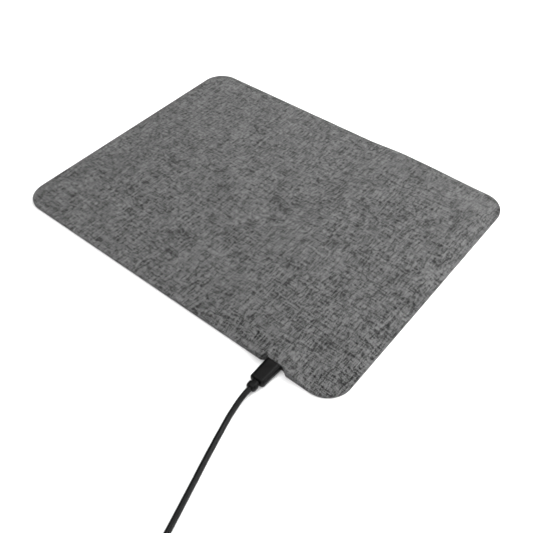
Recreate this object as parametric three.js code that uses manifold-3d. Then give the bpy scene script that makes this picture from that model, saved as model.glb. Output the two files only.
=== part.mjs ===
// Wireless charging desk mat with its plug-in lead.
// Millimetres. +X runs along the long side, +Y away from the user, Z = 0 is the desk top.
// The origin is the middle of the mat's underside. The socket is in the front (-Y) edge.
import * as THREE from 'three';
import { mergeVertices } from 'three/addons/utils/BufferGeometryUtils.js';
import Module from 'manifold-3d';

const wasm = await Module();
wasm.setup();

// ---- driving dimensions -------------------------------------------------------------------

// Clearances shared by every fit.
const BOND = 0.1;                 // glue line between stacked layers
const CLEARANCE = 0.3;            // around a piece that sits in a pocket
const SLIDE_FIT = 0.1;            // around the plug's tongue inside the socket
const SEAT = 0.05;                // between small pieces that rest on each other
const OVERSHOOT = 1;              // how far a cutting block runs past the material

// Mat.
const MAT_LENGTH = 260;
const MAT_DEPTH = 200;
const CORNER_RADIUS = 16;
const BASE_THICKNESS = 0.6;
const BASE_INSET = 0.3;           // the underside stands back from the fabric's turned-down edge
const FABRIC_THICKNESS = 0.45;
const EDGE_HEIGHT = 2.0;          // top of the fabric along the free edges

// Raised area over the electronics: a flat top with soft shoulders.
const CROWN_WIDTH = 69;           // flat top, along X
const CROWN_DEPTH = 152;          // flat top, along Y
const CROWN_FROM_RIGHT = 11;      // from the mat's right edge
const CROWN_FROM_FRONT = 16;      // from the mat's front edge
const SHOULDER_LEFT = 34;         // run of each shoulder
const SHOULDER_RIGHT = 10;
const SHOULDER_FRONT = 14;
const SHOULDER_BACK = 60;         // at the crown's left end
const SHOULDER_BACK_RIGHT = 32;   // at its right end
const PORT_CROWN = 19;            // width of the flat top that reaches the front edge
const PORT_SHOULDER = 15;
const SHOULDER_STEPS = 4;

// Socket and its recess in the front edge.
const PORT_FROM_RIGHT = 40.7;
const NOTCH_DEPTH = 1.4;
const NOTCH_SPLAY = 2.0;          // how much wider the recess is at its mouth, on each side
const BEZEL_WIDTH = 12.6;
const BEZEL_WALL = 0.45;
const BEZEL_DEPTH = 1.3;
const BEZEL_RADIUS = 1.7;
const HOOD_DEPTH = 7.5;           // the housing's cover behind the bezel
const SOCKET_WIDTH = 7.55;
const SOCKET_HEIGHT = 2.5;
const SOCKET_DEPTH = 5.4;
const SOCKET_WALL = 0.25;
const SOCKET_CHAMFER = 0.8;
const SOCKET_SETBACK = 0.3;       // mouth behind the bezel's face
const SOCKET_MARGIN = 0.15;       // between the socket and the housing round it
const TONGUE_SETBACK = 0.7;       // front of the tongue behind the socket's mouth
const TONGUE_ROOT_DEPTH = 0.5;

// Circuit board.
const BOARD_WIDTH = 44;
const BOARD_LENGTH = 54;
const BOARD_TAB = 16;             // width of the narrow front that carries the socket
const PART_HEADROOM = 2.2;        // room above the board for its parts
const CONTACT_COUNT = 5;
const CONTACT_PITCH = 0.65;
const CONTACT_WIDTH = 0.35;
const CONTACT_THICKNESS = 0.1;
const CONTACT_MARGIN = 0.35;      // plastic beside the outer contacts, and in front of them

// Charging coil stack, under the middle of the phone's place.
const COIL_FROM_RIGHT = 45.5;
const COIL_FROM_FRONT = 103;
const COIL_OUTER_RADIUS = 21.5;
const COIL_INNER_RADIUS = 10.5;
const COIL_TURNS = 10;
const COIL_THICKNESS = 1.0;
const FERRITE_RADIUS = 26;
const FERRITE_THICKNESS = 0.8;
const FILM_THICKNESS = 0.1;
const COIL_ROOF = 0.65;           // core material above the stack
const WIRE_DIAMETER = 0.6;
const WIRE_SPACING = 5;
const WIRE_LANDING = 4;           // length of wire that lies on the board
const WINDING_GROOVE = 0.3;       // depth between turns, as a share of the winding's thickness

// Micro-USB plug.
const PLUG_GAP = 0.4;             // between the bezel's face and the plug's shoulder
const PLUG_WIDTH = 10.2;
const PLUG_HEIGHT = 5.8;
const PLUG_LENGTH = 15;
const PLUG_RADIUS = 2.4;
const PLUG_TAPER = 0.07;          // share of width lost towards the cable
const PLUG_SHELL_REACH = 4.9;     // length of shell in front of the shoulder
const PLUG_SHELL_SUNK = 3;        // length of shell inside the overmould
const PLUG_SHELL_WALL = 0.25;
const PLUG_FLOOR_THICKNESS = 0.32;
const PLUG_ROOT_DEPTH = 0.5;      // the insulator's thick end stops this far inside the shoulder
const NECK_WIDTH = 6.0;
const NECK_HEIGHT = 4.6;
const NECK_LENGTH = 5.2;
const NECK_RADIUS = 1.8;

// Cable.
const CORD_DIAMETER = 3.2;
const CORD_GAP = 0.3;
const FLOOR_GAP = 0.05;
const TURN_PITCH = 3.3;           // centre to centre of neighbouring turns
const COIL_MEAN_RADIUS = 17.6;
const LOWER_TURNS = 4;            // turns side by side in the lower row, one less in the upper row
const HANK_ACROSS = 10.7;         // middle of the wound cable, across from the plug's axis
const HANK_AWAY = 132.7;          // and away from the end of the plug
const STRAP_THICKNESS = 0.6;
const STRAP_WIDTH = 8;
const STRAP_RADIUS = 1.6;
const TAIL_LENGTH = 21;
const TAIL_GAP = 0.2;             // between the outer turn and the cable's end beside it

// Full-size USB plug at the far end.
const FAR_WIDTH = 15.4;
const FAR_HEIGHT = 7.8;
const FAR_LENGTH = 27;
const FAR_RADIUS = 2.6;
const FAR_RELIEF_LENGTH = 9;
const FAR_RELIEF_RADII = [2.4, 3.2];
const FAR_SHELL_WIDTH = 12;
const FAR_SHELL_HEIGHT = 4.5;
const FAR_SHELL_REACH = 12;
const FAR_SHELL_SUNK = 5;
const FAR_SHELL_WALL = 0.3;
const FAR_SHELL_RADIUS = 0.5;
const FAR_BLOCK_THICKNESS = 1.9;
const FAR_BLOCK_SETBACK = 0.5;    // behind the shell's mouth
const FAR_CONTACT_SPREAD = [-3.5, -1.0, 1.0, 3.5];
const FAR_CONTACT_WIDTH = 1;
const FAR_CONTACT_THICKNESS = 0.2;

// ---- places worked out from them ----------------------------------------------------------

const FRONT = -MAT_DEPTH / 2;
const RIGHT = MAT_LENGTH / 2;
const CROWN_RIGHT = RIGHT - CROWN_FROM_RIGHT;
const CROWN_LEFT = CROWN_RIGHT - CROWN_WIDTH;
const CROWN_FRONT = FRONT + CROWN_FROM_FRONT;
const CROWN_BACK = CROWN_FRONT + CROWN_DEPTH;
const COIL_X = RIGHT - COIL_FROM_RIGHT;
const COIL_Y = FRONT + COIL_FROM_FRONT;
const PORT_X = RIGHT - PORT_FROM_RIGHT;
const PORT_Z = PLUG_HEIGHT / 2 + BOND;      // the plug lies on the desk
const BEZEL_FACE = FRONT + NOTCH_DEPTH;
const CORE_FLOOR = BASE_THICKNESS + BOND;
const BEZEL_TOP = PORT_Z + SOCKET_HEIGHT / 2 + BEZEL_WALL + SOCKET_MARGIN;
const CROWN_HEIGHT = BEZEL_TOP + BOND + FABRIC_THICKNESS;
const CORE_BELOW_TOP = FABRIC_THICKNESS + BOND;
const BOARD_TOP = PORT_Z - SOCKET_HEIGHT / 2 - SEAT;   // the socket stands on the board
const BOARD_BOTTOM = CORE_FLOOR + 2 * BOND;            // and the board on the underside
const SOCKET_MOUTH = BEZEL_FACE + SOCKET_SETBACK;
const BOARD_FRONT = BEZEL_FACE + BEZEL_DEPTH + CLEARANCE;
const BOARD_BACK = BOARD_FRONT + BOARD_LENGTH;
const PLUG_SHOULDER = BEZEL_FACE - PLUG_GAP;
const PLUG_BACK = PLUG_SHOULDER - PLUG_LENGTH;
const NECK_END = PLUG_BACK - SEAT - NECK_LENGTH;
const HANK_X = PORT_X + HANK_ACROSS;
const HANK_Y = NECK_END - HANK_AWAY;
const HANK_LIFT = STRAP_THICKNESS + SEAT + BOND;
const CORD_Z = CORD_DIAMETER / 2 + FLOOR_GAP;

// ---- finishes -----------------------------------------------------------------------------

const finish = (color, roughness, metalness = 0) =>
  new THREE.MeshStandardMaterial({ color, roughness, metalness });

const FINISH = {
  fabric: () => finish(0x6d6d6e, 0.95),
  core: () => finish(0x3a3b3d, 0.9),
  base: () => finish(0x1e1f21, 0.85),
  blackPlastic: () => finish(0x161617, 0.5),
  overmould: () => finish(0x1a1a1b, 0.6),
  cable: () => finish(0x131314, 0.45),
  steel: () => finish(0xb9bbbd, 0.3, 1),
  insulator: () => finish(0x18181a, 0.55),
  contact: () => finish(0xd1a24a, 0.3, 1),
  board: () => finish(0x1d5a38, 0.55),
  chip: () => finish(0x151517, 0.6),
  ceramic: () => finish(0xb59a78, 0.45),
  ferrite: () => finish(0x2b2b2e, 0.8),
  copper: () => finish(0xb5683a, 0.35, 1),
  film: () => finish(0xc9b26a, 0.3),
  foam: () => finish(0x4a4b4e, 0.95),
  strap: () => finish(0x202022, 0.9),
};

const object = new THREE.Group();

function add(name, shape, material) {
  const geometry = shape.isBufferGeometry ? shape : meshOf(shape);
  const mesh = new THREE.Mesh(geometry, material());
  mesh.name = name;
  object.add(mesh);
  return mesh;
}

// ---- solid helpers ------------------------------------------------------------------------

function solidOf(geometry) {
  const bare = geometry.clone();
  bare.deleteAttribute('normal');
  bare.deleteAttribute('uv');
  const merged = mergeVertices(bare, 1e-4);
  return new wasm.Manifold(new wasm.Mesh({
    numProp: 3,
    vertProperties: Float32Array.from(merged.attributes.position.array),
    triVerts: Uint32Array.from(merged.index.array),
  }));
}

function meshOf(solid) {
  const { vertProperties, triVerts } = solid.getMesh();
  const geometry = new THREE.BufferGeometry();
  geometry.setAttribute('position', new THREE.BufferAttribute(vertProperties, 3));
  geometry.setIndex(new THREE.BufferAttribute(triVerts, 1));
  return geometry;
}

// A box between two corners.
function boxBetween(low, high) {
  const size = high.map((value, axis) => value - low[axis]);
  const box = new THREE.BoxGeometry(...size);
  return box.translate(...low.map((value, axis) => value + size[axis] / 2));
}

// A plan outline pulled up from one height to another.
function slab(shape, bottom, top, curveSegments = 8) {
  const options = { depth: top - bottom, bevelEnabled: false, curveSegments };
  return new THREE.ExtrudeGeometry(shape, options).translate(0, 0, bottom);
}

// A section drawn as (across, up), carried from a point along a level heading.
function bar(section, start, heading, length, curveSegments = 4) {
  const up = new THREE.Vector3(0, 0, 1);
  const across = new THREE.Vector3().crossVectors(up, heading);
  const frame = new THREE.Matrix4().makeBasis(across, up, heading).setPosition(start);
  const options = { depth: length, bevelEnabled: false, curveSegments };
  return new THREE.ExtrudeGeometry(section, options).applyMatrix4(frame);
}

// A rectangle centred on the origin with round corners.
function roundedRect(width, height, radius) {
  const [x, y, r] = [width / 2, height / 2, Math.min(radius, width / 2.01, height / 2.01)];
  const shape = new THREE.Shape();
  shape.moveTo(x, y - r);
  shape.absarc(x - r, y - r, r, 0, Math.PI / 2);
  shape.absarc(-x + r, y - r, r, Math.PI / 2, Math.PI);
  shape.absarc(-x + r, -y + r, r, Math.PI, 1.5 * Math.PI);
  shape.absarc(x - r, -y + r, r, 1.5 * Math.PI, 2 * Math.PI);
  return shape;
}

// The D-like section of a micro-USB socket: flat and wide above, its lower corners cut off.
function socketSection(width, height, chamfer) {
  const [x, y] = [width / 2, height / 2];
  const cut = -y + chamfer;
  const points = [[x, y], [-x, y], [-x, cut], [-x + chamfer, -y], [x - chamfer, -y], [x, cut]];
  return new THREE.Shape(points.map(([px, py]) => new THREE.Vector2(px, py)));
}

// A section with a smaller one of the same kind taken out of its middle.
function hollow(outer, inner) {
  outer.holes.push(new THREE.Path(inner.getPoints(4)));
  return outer;
}

// ---- the mat's outline and its raised top ---------------------------------------------------

// Rounded rectangle with the shallow recess for the plug; inset draws it that much smaller all round.
function matOutline(inset) {
  const x = MAT_LENGTH / 2 - inset;
  const y = MAT_DEPTH / 2 - inset;
  const r = CORNER_RADIUS - inset;
  const floorHalf = BEZEL_WIDTH / 2 + BOND + inset;
  const shape = new THREE.Shape();
  shape.moveTo(-x + r, -y);
  shape.lineTo(PORT_X - floorHalf - NOTCH_SPLAY, -y);
  shape.lineTo(PORT_X - floorHalf, -y + NOTCH_DEPTH);
  shape.lineTo(PORT_X + floorHalf, -y + NOTCH_DEPTH);
  shape.lineTo(PORT_X + floorHalf + NOTCH_SPLAY, -y);
  shape.absarc(x - r, -y + r, r, -Math.PI / 2, 0);
  shape.absarc(x - r, y - r, r, 0, Math.PI / 2);
  shape.absarc(-x + r, y - r, r, Math.PI / 2, Math.PI);
  shape.absarc(-x + r, -y + r, r, Math.PI, 1.5 * Math.PI);
  return shape;
}

// 0 to 1 with level ends: the half wave of a cosine.
const ease = (t) => 0.5 - 0.5 * Math.cos(Math.PI * Math.min(Math.max(t, 0), 1));

// Height of the fabric's top at a point of the plan.
function topHeight(x, y) {
  const acrossX = ease((x - CROWN_LEFT) / SHOULDER_LEFT + 1) * ease((CROWN_RIGHT - x) / SHOULDER_RIGHT + 1);
  const toRight = ease((x - CROWN_LEFT) / (CROWN_RIGHT - CROWN_LEFT));
  const runBack = SHOULDER_BACK + (SHOULDER_BACK_RIGHT - SHOULDER_BACK) * toRight;
  const acrossY = ease((y - CROWN_FRONT) / SHOULDER_FRONT + 1) * ease((CROWN_BACK - y) / runBack + 1);
  const besidePort = ease((PORT_CROWN / 2 - Math.abs(x - PORT_X)) / PORT_SHOULDER + 1);
  const atPort = y < CROWN_FRONT ? besidePort : 0;
  const rise = acrossX * Math.max(acrossY, atPort);
  return EDGE_HEIGHT + (CROWN_HEIGHT - EDGE_HEIGHT) * rise;
}

// Lines of the relief grid: the ends of each shoulder and the steps between them.
function stepsBetween(start, end) {
  return Array.from({ length: SHOULDER_STEPS + 1 }, (_, i) => start + ((end - start) * i) / SHOULDER_STEPS);
}

function gridLines(limit, ...runs) {
  const lines = [-limit, limit, ...runs.flat()].filter((value) => Math.abs(value) <= limit);
  return [...new Set(lines.map((value) => Math.round(value * 1000) / 1000))].sort((a, b) => a - b);
}

const GRID_X = gridLines(
  MAT_LENGTH / 2 + OVERSHOOT,
  stepsBetween(CROWN_LEFT - SHOULDER_LEFT, CROWN_LEFT),
  stepsBetween(PORT_X - PORT_CROWN / 2 - PORT_SHOULDER, PORT_X - PORT_CROWN / 2),
  stepsBetween(PORT_X + PORT_CROWN / 2, PORT_X + PORT_CROWN / 2 + PORT_SHOULDER),
  stepsBetween(CROWN_RIGHT, CROWN_RIGHT + SHOULDER_RIGHT),
);
const GRID_Y = gridLines(
  MAT_DEPTH / 2 + OVERSHOOT,
  stepsBetween(CROWN_FRONT - SHOULDER_FRONT, CROWN_FRONT),
  stepsBetween(CROWN_BACK, CROWN_BACK + SHOULDER_BACK),
);

// A block whose top follows the raised surface, shifted down by drop.
function relief(drop, bottom) {
  const [columns, rows] = [GRID_X.length - 1, GRID_Y.length - 1];
  const block = new THREE.BoxGeometry(1, 1, 1, columns, rows, 1);
  const place = block.attributes.position;
  for (let i = 0; i < place.count; i++) {
    const x = GRID_X[Math.round((place.getX(i) + 0.5) * columns)];
    const y = GRID_Y[Math.round((place.getY(i) + 0.5) * rows)];
    place.setXYZ(i, x, y, place.getZ(i) > 0 ? topHeight(x, y) - drop : bottom);
  }
  return solidOf(block);
}

// The relief cut to the mat's outline.
function matSolid(drop, inset, bottom) {
  const outline = slab(matOutline(inset), bottom - OVERSHOOT, CROWN_HEIGHT + OVERSHOOT);
  return relief(drop, bottom).intersect(solidOf(outline));
}

// ---- housing of the socket ------------------------------------------------------------------

const BEZEL_HEIGHT = BEZEL_TOP - CORE_FLOOR;
const BEZEL_MIDDLE = (BEZEL_TOP + CORE_FLOOR) / 2;
const INWARD = new THREE.Vector3(0, 1, 0);
const OUTWARD = new THREE.Vector3(0, -1, 0);

// The housing's outer form, grown by a margin, from one place in Y to another.
function housingBlock(margin, from, to) {
  const section = roundedRect(BEZEL_WIDTH + 2 * margin, BEZEL_HEIGHT + 2 * margin, BEZEL_RADIUS + margin);
  return solidOf(bar(section, new THREE.Vector3(PORT_X, from, BEZEL_MIDDLE), INWARD, to - from));
}

function socketBlock(margin, from, to) {
  const section = socketSection(SOCKET_WIDTH + 2 * margin, SOCKET_HEIGHT + 2 * margin, SOCKET_CHAMFER);
  return solidOf(bar(section, new THREE.Vector3(PORT_X, from, PORT_Z), INWARD, to - from));
}

function portHousing() {
  const hoodEnd = BEZEL_FACE + HOOD_DEPTH;
  const behindBezel = BEZEL_FACE + BEZEL_DEPTH;
  const belowHood = solidOf(boxBetween(
    [PORT_X - BEZEL_WIDTH, behindBezel, 0],
    [PORT_X + BEZEL_WIDTH, hoodEnd + OVERSHOOT, BOARD_TOP + SEAT],
  ));
  return housingBlock(0, BEZEL_FACE, hoodEnd)
    .subtract(socketBlock(SOCKET_MARGIN, BEZEL_FACE - OVERSHOOT, hoodEnd + OVERSHOOT))
    .subtract(belowHood);
}

// ---- layers of the mat ----------------------------------------------------------------------

// The board's plan between two heights, grown by a margin: a narrow front under the raised strip at the
// socket, and the full width behind the front shoulder.
function boardBlock(margin, bottom, top) {
  const [tab, half] = [BOARD_TAB / 2 + margin, BOARD_WIDTH / 2 + margin];
  const back = BOARD_BACK + margin;
  return solidOf(boxBetween([PORT_X - tab, BOARD_FRONT - margin, bottom], [PORT_X + tab, back, top]))
    .add(solidOf(boxBetween([PORT_X - half, CROWN_FRONT - margin, bottom], [PORT_X + half, back, top])));
}

function housingPocket() {
  const half = BEZEL_WIDTH / 2 + CLEARANCE;
  return solidOf(boxBetween(
    [PORT_X - half, FRONT - OVERSHOOT, 0],
    [PORT_X + half, BEZEL_FACE + HOOD_DEPTH + CLEARANCE, CROWN_HEIGHT],
  ));
}

function disc(radius, bottom, top, segments = 40) {
  const cylinder = new THREE.CylinderGeometry(radius, radius, top - bottom, segments).rotateX(Math.PI / 2);
  return cylinder.translate(COIL_X, COIL_Y, (bottom + top) / 2);
}

const STACK_TOP = CROWN_HEIGHT - CORE_BELOW_TOP - COIL_ROOF - BOND;
const FILM_BOTTOM = STACK_TOP - FILM_THICKNESS;
const COIL_TOP = FILM_BOTTOM - BOND;
const COIL_BOTTOM = COIL_TOP - COIL_THICKNESS;
const FERRITE_TOP = COIL_BOTTOM - BOND;
const FERRITE_BOTTOM = FERRITE_TOP - FERRITE_THICKNESS;
const WIRE_Z = (FERRITE_TOP + FERRITE_BOTTOM) / 2;
const WIRE_XS = { inner: COIL_X, outer: COIL_X + WIRE_SPACING };

function wireChannel() {
  return solidOf(boxBetween(
    [WIRE_XS.inner - WIRE_SPACING / 2, BOARD_BACK, 0],
    [WIRE_XS.outer + WIRE_SPACING / 2, COIL_Y, COIL_TOP],
  ));
}

add('base_sheet', slab(matOutline(BASE_INSET), 0, BASE_THICKNESS), FINISH.base);

add('core_board', matSolid(CORE_BELOW_TOP, CORE_BELOW_TOP, CORE_FLOOR)
  .subtract(housingPocket())
  .subtract(boardBlock(CLEARANCE, 0, BOARD_TOP + PART_HEADROOM))
  .subtract(solidOf(disc(FERRITE_RADIUS + CLEARANCE, 0, STACK_TOP + BOND)))
  .subtract(wireChannel()), FINISH.core);

add('top_fabric', matSolid(0, 0, CORE_FLOOR)
  .subtract(matSolid(FABRIC_THICKNESS, FABRIC_THICKNESS, CORE_FLOOR - OVERSHOOT))
  .subtract(housingBlock(BOND, FRONT - OVERSHOOT, BEZEL_FACE + HOOD_DEPTH)), FINISH.fabric);

// ---- socket ---------------------------------------------------------------------------------

const SOCKET_END = SOCKET_MOUTH + SOCKET_DEPTH;
const SOCKET_BORE_WIDTH = SOCKET_WIDTH - 2 * SOCKET_WALL;
const SOCKET_BORE_HEIGHT = SOCKET_HEIGHT - 2 * SOCKET_WALL;
const CONTACT_XS = Array.from({ length: CONTACT_COUNT }, (_, i) =>
  PORT_X + (i - (CONTACT_COUNT - 1) / 2) * CONTACT_PITCH);
const CONTACT_SPAN = (CONTACT_COUNT - 1) * CONTACT_PITCH + CONTACT_WIDTH;

add('port_housing', portHousing(), FINISH.blackPlastic);

function socketShell() {
  const bore = socketSection(SOCKET_BORE_WIDTH, SOCKET_BORE_HEIGHT, SOCKET_CHAMFER);
  const section = hollow(socketSection(SOCKET_WIDTH, SOCKET_HEIGHT, SOCKET_CHAMFER), bore);
  return bar(section, new THREE.Vector3(PORT_X, SOCKET_MOUTH, PORT_Z), INWARD, SOCKET_DEPTH);
}

add('receptacle_shell', socketShell(), FINISH.steel);

// Heights inside the socket, measured from the plug's axis and stacked from below.
const SHELL_INNER_HALF = SOCKET_BORE_HEIGHT / 2 - SLIDE_FIT - PLUG_SHELL_WALL;
const PLUG_FLOOR_BOTTOM = -SHELL_INNER_HALF + SEAT;
const PLUG_FLOOR_TOP = PLUG_FLOOR_BOTTOM + PLUG_FLOOR_THICKNESS;
const PLUG_CONTACT_TOP = PLUG_FLOOR_TOP + SEAT + CONTACT_THICKNESS;
const SOCKET_CONTACT_BOTTOM = PLUG_CONTACT_TOP + SEAT;
const TONGUE_BOTTOM = SOCKET_CONTACT_BOTTOM + CONTACT_THICKNESS + SEAT;
const TONGUE_TOP = SHELL_INNER_HALF - SLIDE_FIT;
const TONGUE_FRONT = SOCKET_MOUTH + TONGUE_SETBACK;
const TONGUE_ROOT = SOCKET_END - TONGUE_ROOT_DEPTH;

function socketTongue() {
  const half = CONTACT_SPAN / 2 + CONTACT_MARGIN;
  const plate = boxBetween(
    [PORT_X - half, TONGUE_FRONT, PORT_Z + TONGUE_BOTTOM],
    [PORT_X + half, SOCKET_END - SEAT, PORT_Z + TONGUE_TOP],
  );
  const [width, height] = [SOCKET_BORE_WIDTH - 2 * SEAT, SOCKET_BORE_HEIGHT - 2 * SEAT];
  const start = new THREE.Vector3(PORT_X, TONGUE_ROOT, PORT_Z);
  const root = bar(socketSection(width, height, SOCKET_CHAMFER), start, INWARD, TONGUE_ROOT_DEPTH);
  return solidOf(plate).add(solidOf(root));
}

add('receptacle_tongue', socketTongue(), FINISH.insulator);

CONTACT_XS.forEach((x, i) => {
  add(`receptacle_contact_${i + 1}`, boxBetween(
    [x - CONTACT_WIDTH / 2, TONGUE_FRONT + CONTACT_MARGIN, PORT_Z + SOCKET_CONTACT_BOTTOM],
    [x + CONTACT_WIDTH / 2, TONGUE_ROOT - SEAT, PORT_Z + SOCKET_CONTACT_BOTTOM + CONTACT_THICKNESS],
  ), FINISH.contact);
});

// ---- circuit board and its parts --------------------------------------------------------------

add('circuit_board', boardBlock(0, BOARD_BOTTOM, BOARD_TOP), FINISH.board);

// A part on the board: its middle as (across from the socket, back from the board's front), and its size.
function onBoard(name, [across, back], [width, length, height], material) {
  const [x, y] = [PORT_X + across, BOARD_FRONT + back];
  add(name, boxBetween(
    [x - width / 2, y - length / 2, BOARD_TOP + SEAT],
    [x + width / 2, y + length / 2, BOARD_TOP + SEAT + height],
  ), material);
}

onBoard('controller_chip', [0, 27], [6, 6, 0.9], FINISH.chip);
onBoard('power_chip_1', [-9, 37], [5, 6, 1.0], FINISH.chip);
onBoard('power_chip_2', [2, 37], [5, 6, 1.0], FINISH.chip);
onBoard('supply_inductor', [-13, 24], [5.2, 5.2, 1.8], FINISH.ferrite);
onBoard('thermistor', [11, 48], [2, 1.25, 0.8], FINISH.chip);
for (let i = 0; i < 4; i++) {
  onBoard(`resonant_capacitor_${i + 1}`, [13, 20 + i * 5.5], [4.5, 3.2, 1.8], FINISH.ceramic);
}
for (let i = 0; i < 2; i++) {
  onBoard(`filter_capacitor_${i + 1}`, [-14 + i * 5, 15], [3.2, 1.6, 1.5], FINISH.ceramic);
}

// ---- coil stack -------------------------------------------------------------------------------

// Flat ring whose upper face shows the wire's turns as ridges.
function windingRing() {
  const pitch = (COIL_OUTER_RADIUS - COIL_INNER_RADIUS) / COIL_TURNS;
  const grooveFloor = COIL_TOP - COIL_THICKNESS * WINDING_GROOVE;
  const points = [[COIL_OUTER_RADIUS, COIL_BOTTOM], [COIL_OUTER_RADIUS, grooveFloor]];
  for (let turn = COIL_TURNS - 1; turn >= 0; turn--) {
    points.push([COIL_INNER_RADIUS + (turn + 0.5) * pitch, COIL_TOP]);
    points.push([COIL_INNER_RADIUS + turn * pitch, grooveFloor]);
  }
  points.push([COIL_INNER_RADIUS, COIL_BOTTOM], points[0]);
  const profile = points.map(([radius, height]) => new THREE.Vector2(radius, height));
  return new THREE.LatheGeometry(profile, 32).rotateX(Math.PI / 2).translate(COIL_X, COIL_Y, 0);
}

// A round wire through a few points.
function wire(points, diameter, sides, steps) {
  const path = new THREE.CatmullRomCurve3(points.map((point) => new THREE.Vector3(...point)));
  const circle = new THREE.Shape(Array.from({ length: sides }, (_, i) => {
    const angle = (2 * Math.PI * i) / sides;
    return new THREE.Vector2(Math.cos(angle), Math.sin(angle)).multiplyScalar(diameter / 2);
  }));
  return new THREE.ExtrudeGeometry(circle, { steps, extrudePath: path, bevelEnabled: false });
}

// Wire from a place on the stack to the board's rear edge.
function coilLead(x, startY) {
  const end = BOARD_BACK - WIRE_LANDING;
  const low = BOARD_TOP + SEAT + WIRE_DIAMETER / 2;
  return wire([
    [x, startY, WIRE_Z],
    [x, COIL_Y - FERRITE_RADIUS, WIRE_Z],
    [x, (COIL_Y - FERRITE_RADIUS + BOARD_BACK) / 2, (WIRE_Z + low) / 2],
    [x, end, low],
  ], WIRE_DIAMETER, 8, 12);
}

const slotAround = (x) => solidOf(boxBetween(
  [x - WIRE_DIAMETER / 2 - CLEARANCE, COIL_Y - FERRITE_RADIUS - OVERSHOOT, FERRITE_BOTTOM - OVERSHOOT],
  [x + WIRE_DIAMETER / 2 + CLEARANCE, COIL_Y - COIL_INNER_RADIUS + 2, FERRITE_TOP + OVERSHOOT],
));

add('coil_pad', disc(FERRITE_RADIUS, CORE_FLOOR, FERRITE_BOTTOM - BOND), FINISH.foam);
add('ferrite_sheet', solidOf(disc(FERRITE_RADIUS, FERRITE_BOTTOM, FERRITE_TOP))
  .subtract(slotAround(WIRE_XS.inner))
  .subtract(slotAround(WIRE_XS.outer)), FINISH.ferrite);
add('charging_coil', windingRing(), FINISH.copper);
add('coil_film', disc(FERRITE_RADIUS, FILM_BOTTOM, STACK_TOP), FINISH.film);
add('coil_lead_inner', coilLead(WIRE_XS.inner, COIL_Y - COIL_INNER_RADIUS + 1), FINISH.copper);
add('coil_lead_outer', coilLead(WIRE_XS.outer, COIL_Y - COIL_OUTER_RADIUS + 4), FINISH.copper);

// ---- micro-USB plug -----------------------------------------------------------------------------

const PLUG_SHELL_WIDTH = SOCKET_BORE_WIDTH - 2 * SLIDE_FIT;
const PLUG_SHELL_HEIGHT = SOCKET_BORE_HEIGHT - 2 * SLIDE_FIT;
const PLUG_TIP = PLUG_SHOULDER + PLUG_SHELL_REACH;
const PLUG_ROOT = PLUG_SHOULDER - PLUG_SHELL_SUNK;

// Narrows a piece evenly from its shoulder to its far end, about the plug's axis.
function taper(geometry, from, to, share, axisX, axisZ) {
  const place = geometry.attributes.position;
  for (let i = 0; i < place.count; i++) {
    const factor = 1 - share * ((place.getY(i) - from) / (to - from));
    place.setX(i, axisX + (place.getX(i) - axisX) * factor);
    place.setZ(i, axisZ + (place.getZ(i) - axisZ) * factor);
  }
  return geometry;
}

function plugBody() {
  const section = roundedRect(PLUG_WIDTH, PLUG_HEIGHT, PLUG_RADIUS);
  const block = bar(section, new THREE.Vector3(PORT_X, PLUG_SHOULDER, PORT_Z), OUTWARD, PLUG_LENGTH);
  const body = taper(block, PLUG_SHOULDER, PLUG_BACK, PLUG_TAPER, PORT_X, PORT_Z);
  const seat = socketSection(PLUG_SHELL_WIDTH + 2 * SEAT, PLUG_SHELL_HEIGHT + 2 * SEAT, SOCKET_CHAMFER);
  const start = new THREE.Vector3(PORT_X, PLUG_SHOULDER + OVERSHOOT, PORT_Z);
  return solidOf(body).subtract(solidOf(bar(seat, start, OUTWARD, PLUG_SHELL_SUNK + OVERSHOOT + SEAT)));
}

function plugShell() {
  const bore = socketSection(PLUG_SHELL_WIDTH - 2 * PLUG_SHELL_WALL, 2 * SHELL_INNER_HALF, SOCKET_CHAMFER);
  const section = hollow(socketSection(PLUG_SHELL_WIDTH, PLUG_SHELL_HEIGHT, SOCKET_CHAMFER), bore);
  const start = new THREE.Vector3(PORT_X, PLUG_TIP, PORT_Z);
  return bar(section, start, OUTWARD, PLUG_SHELL_REACH + PLUG_SHELL_SUNK);
}

function plugInsulator() {
  const half = CONTACT_SPAN / 2 + CONTACT_MARGIN;
  const floor = boxBetween(
    [PORT_X - half, PLUG_ROOT, PORT_Z + PLUG_FLOOR_BOTTOM],
    [PORT_X + half, PLUG_TIP - CONTACT_MARGIN, PORT_Z + PLUG_FLOOR_TOP],
  );
  const root = boxBetween(
    [PORT_X - half, PLUG_ROOT, PORT_Z + PLUG_FLOOR_BOTTOM],
    [PORT_X + half, PLUG_SHOULDER - PLUG_ROOT_DEPTH, PORT_Z + SHELL_INNER_HALF - SEAT],
  );
  return solidOf(floor).add(solidOf(root));
}

add('plug_shell', plugShell(), FINISH.steel);
add('plug_insulator', plugInsulator(), FINISH.insulator);
CONTACT_XS.forEach((x, i) => {
  add(`plug_contact_${i + 1}`, boxBetween(
    [x - CONTACT_WIDTH / 2, PLUG_SHOULDER - PLUG_ROOT_DEPTH + SEAT, PORT_Z + PLUG_FLOOR_TOP + SEAT],
    [x + CONTACT_WIDTH / 2, PLUG_TIP - 2 * CONTACT_MARGIN, PORT_Z + PLUG_CONTACT_TOP],
  ), FINISH.contact);
});
add('plug_overmould', plugBody(), FINISH.overmould);
add('plug_strain_relief', bar(
  roundedRect(NECK_WIDTH, NECK_HEIGHT, NECK_RADIUS),
  new THREE.Vector3(PORT_X, PLUG_BACK - SEAT, PORT_Z), OUTWARD, NECK_LENGTH,
), FINISH.overmould);

// ---- cable --------------------------------------------------------------------------------------

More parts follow.
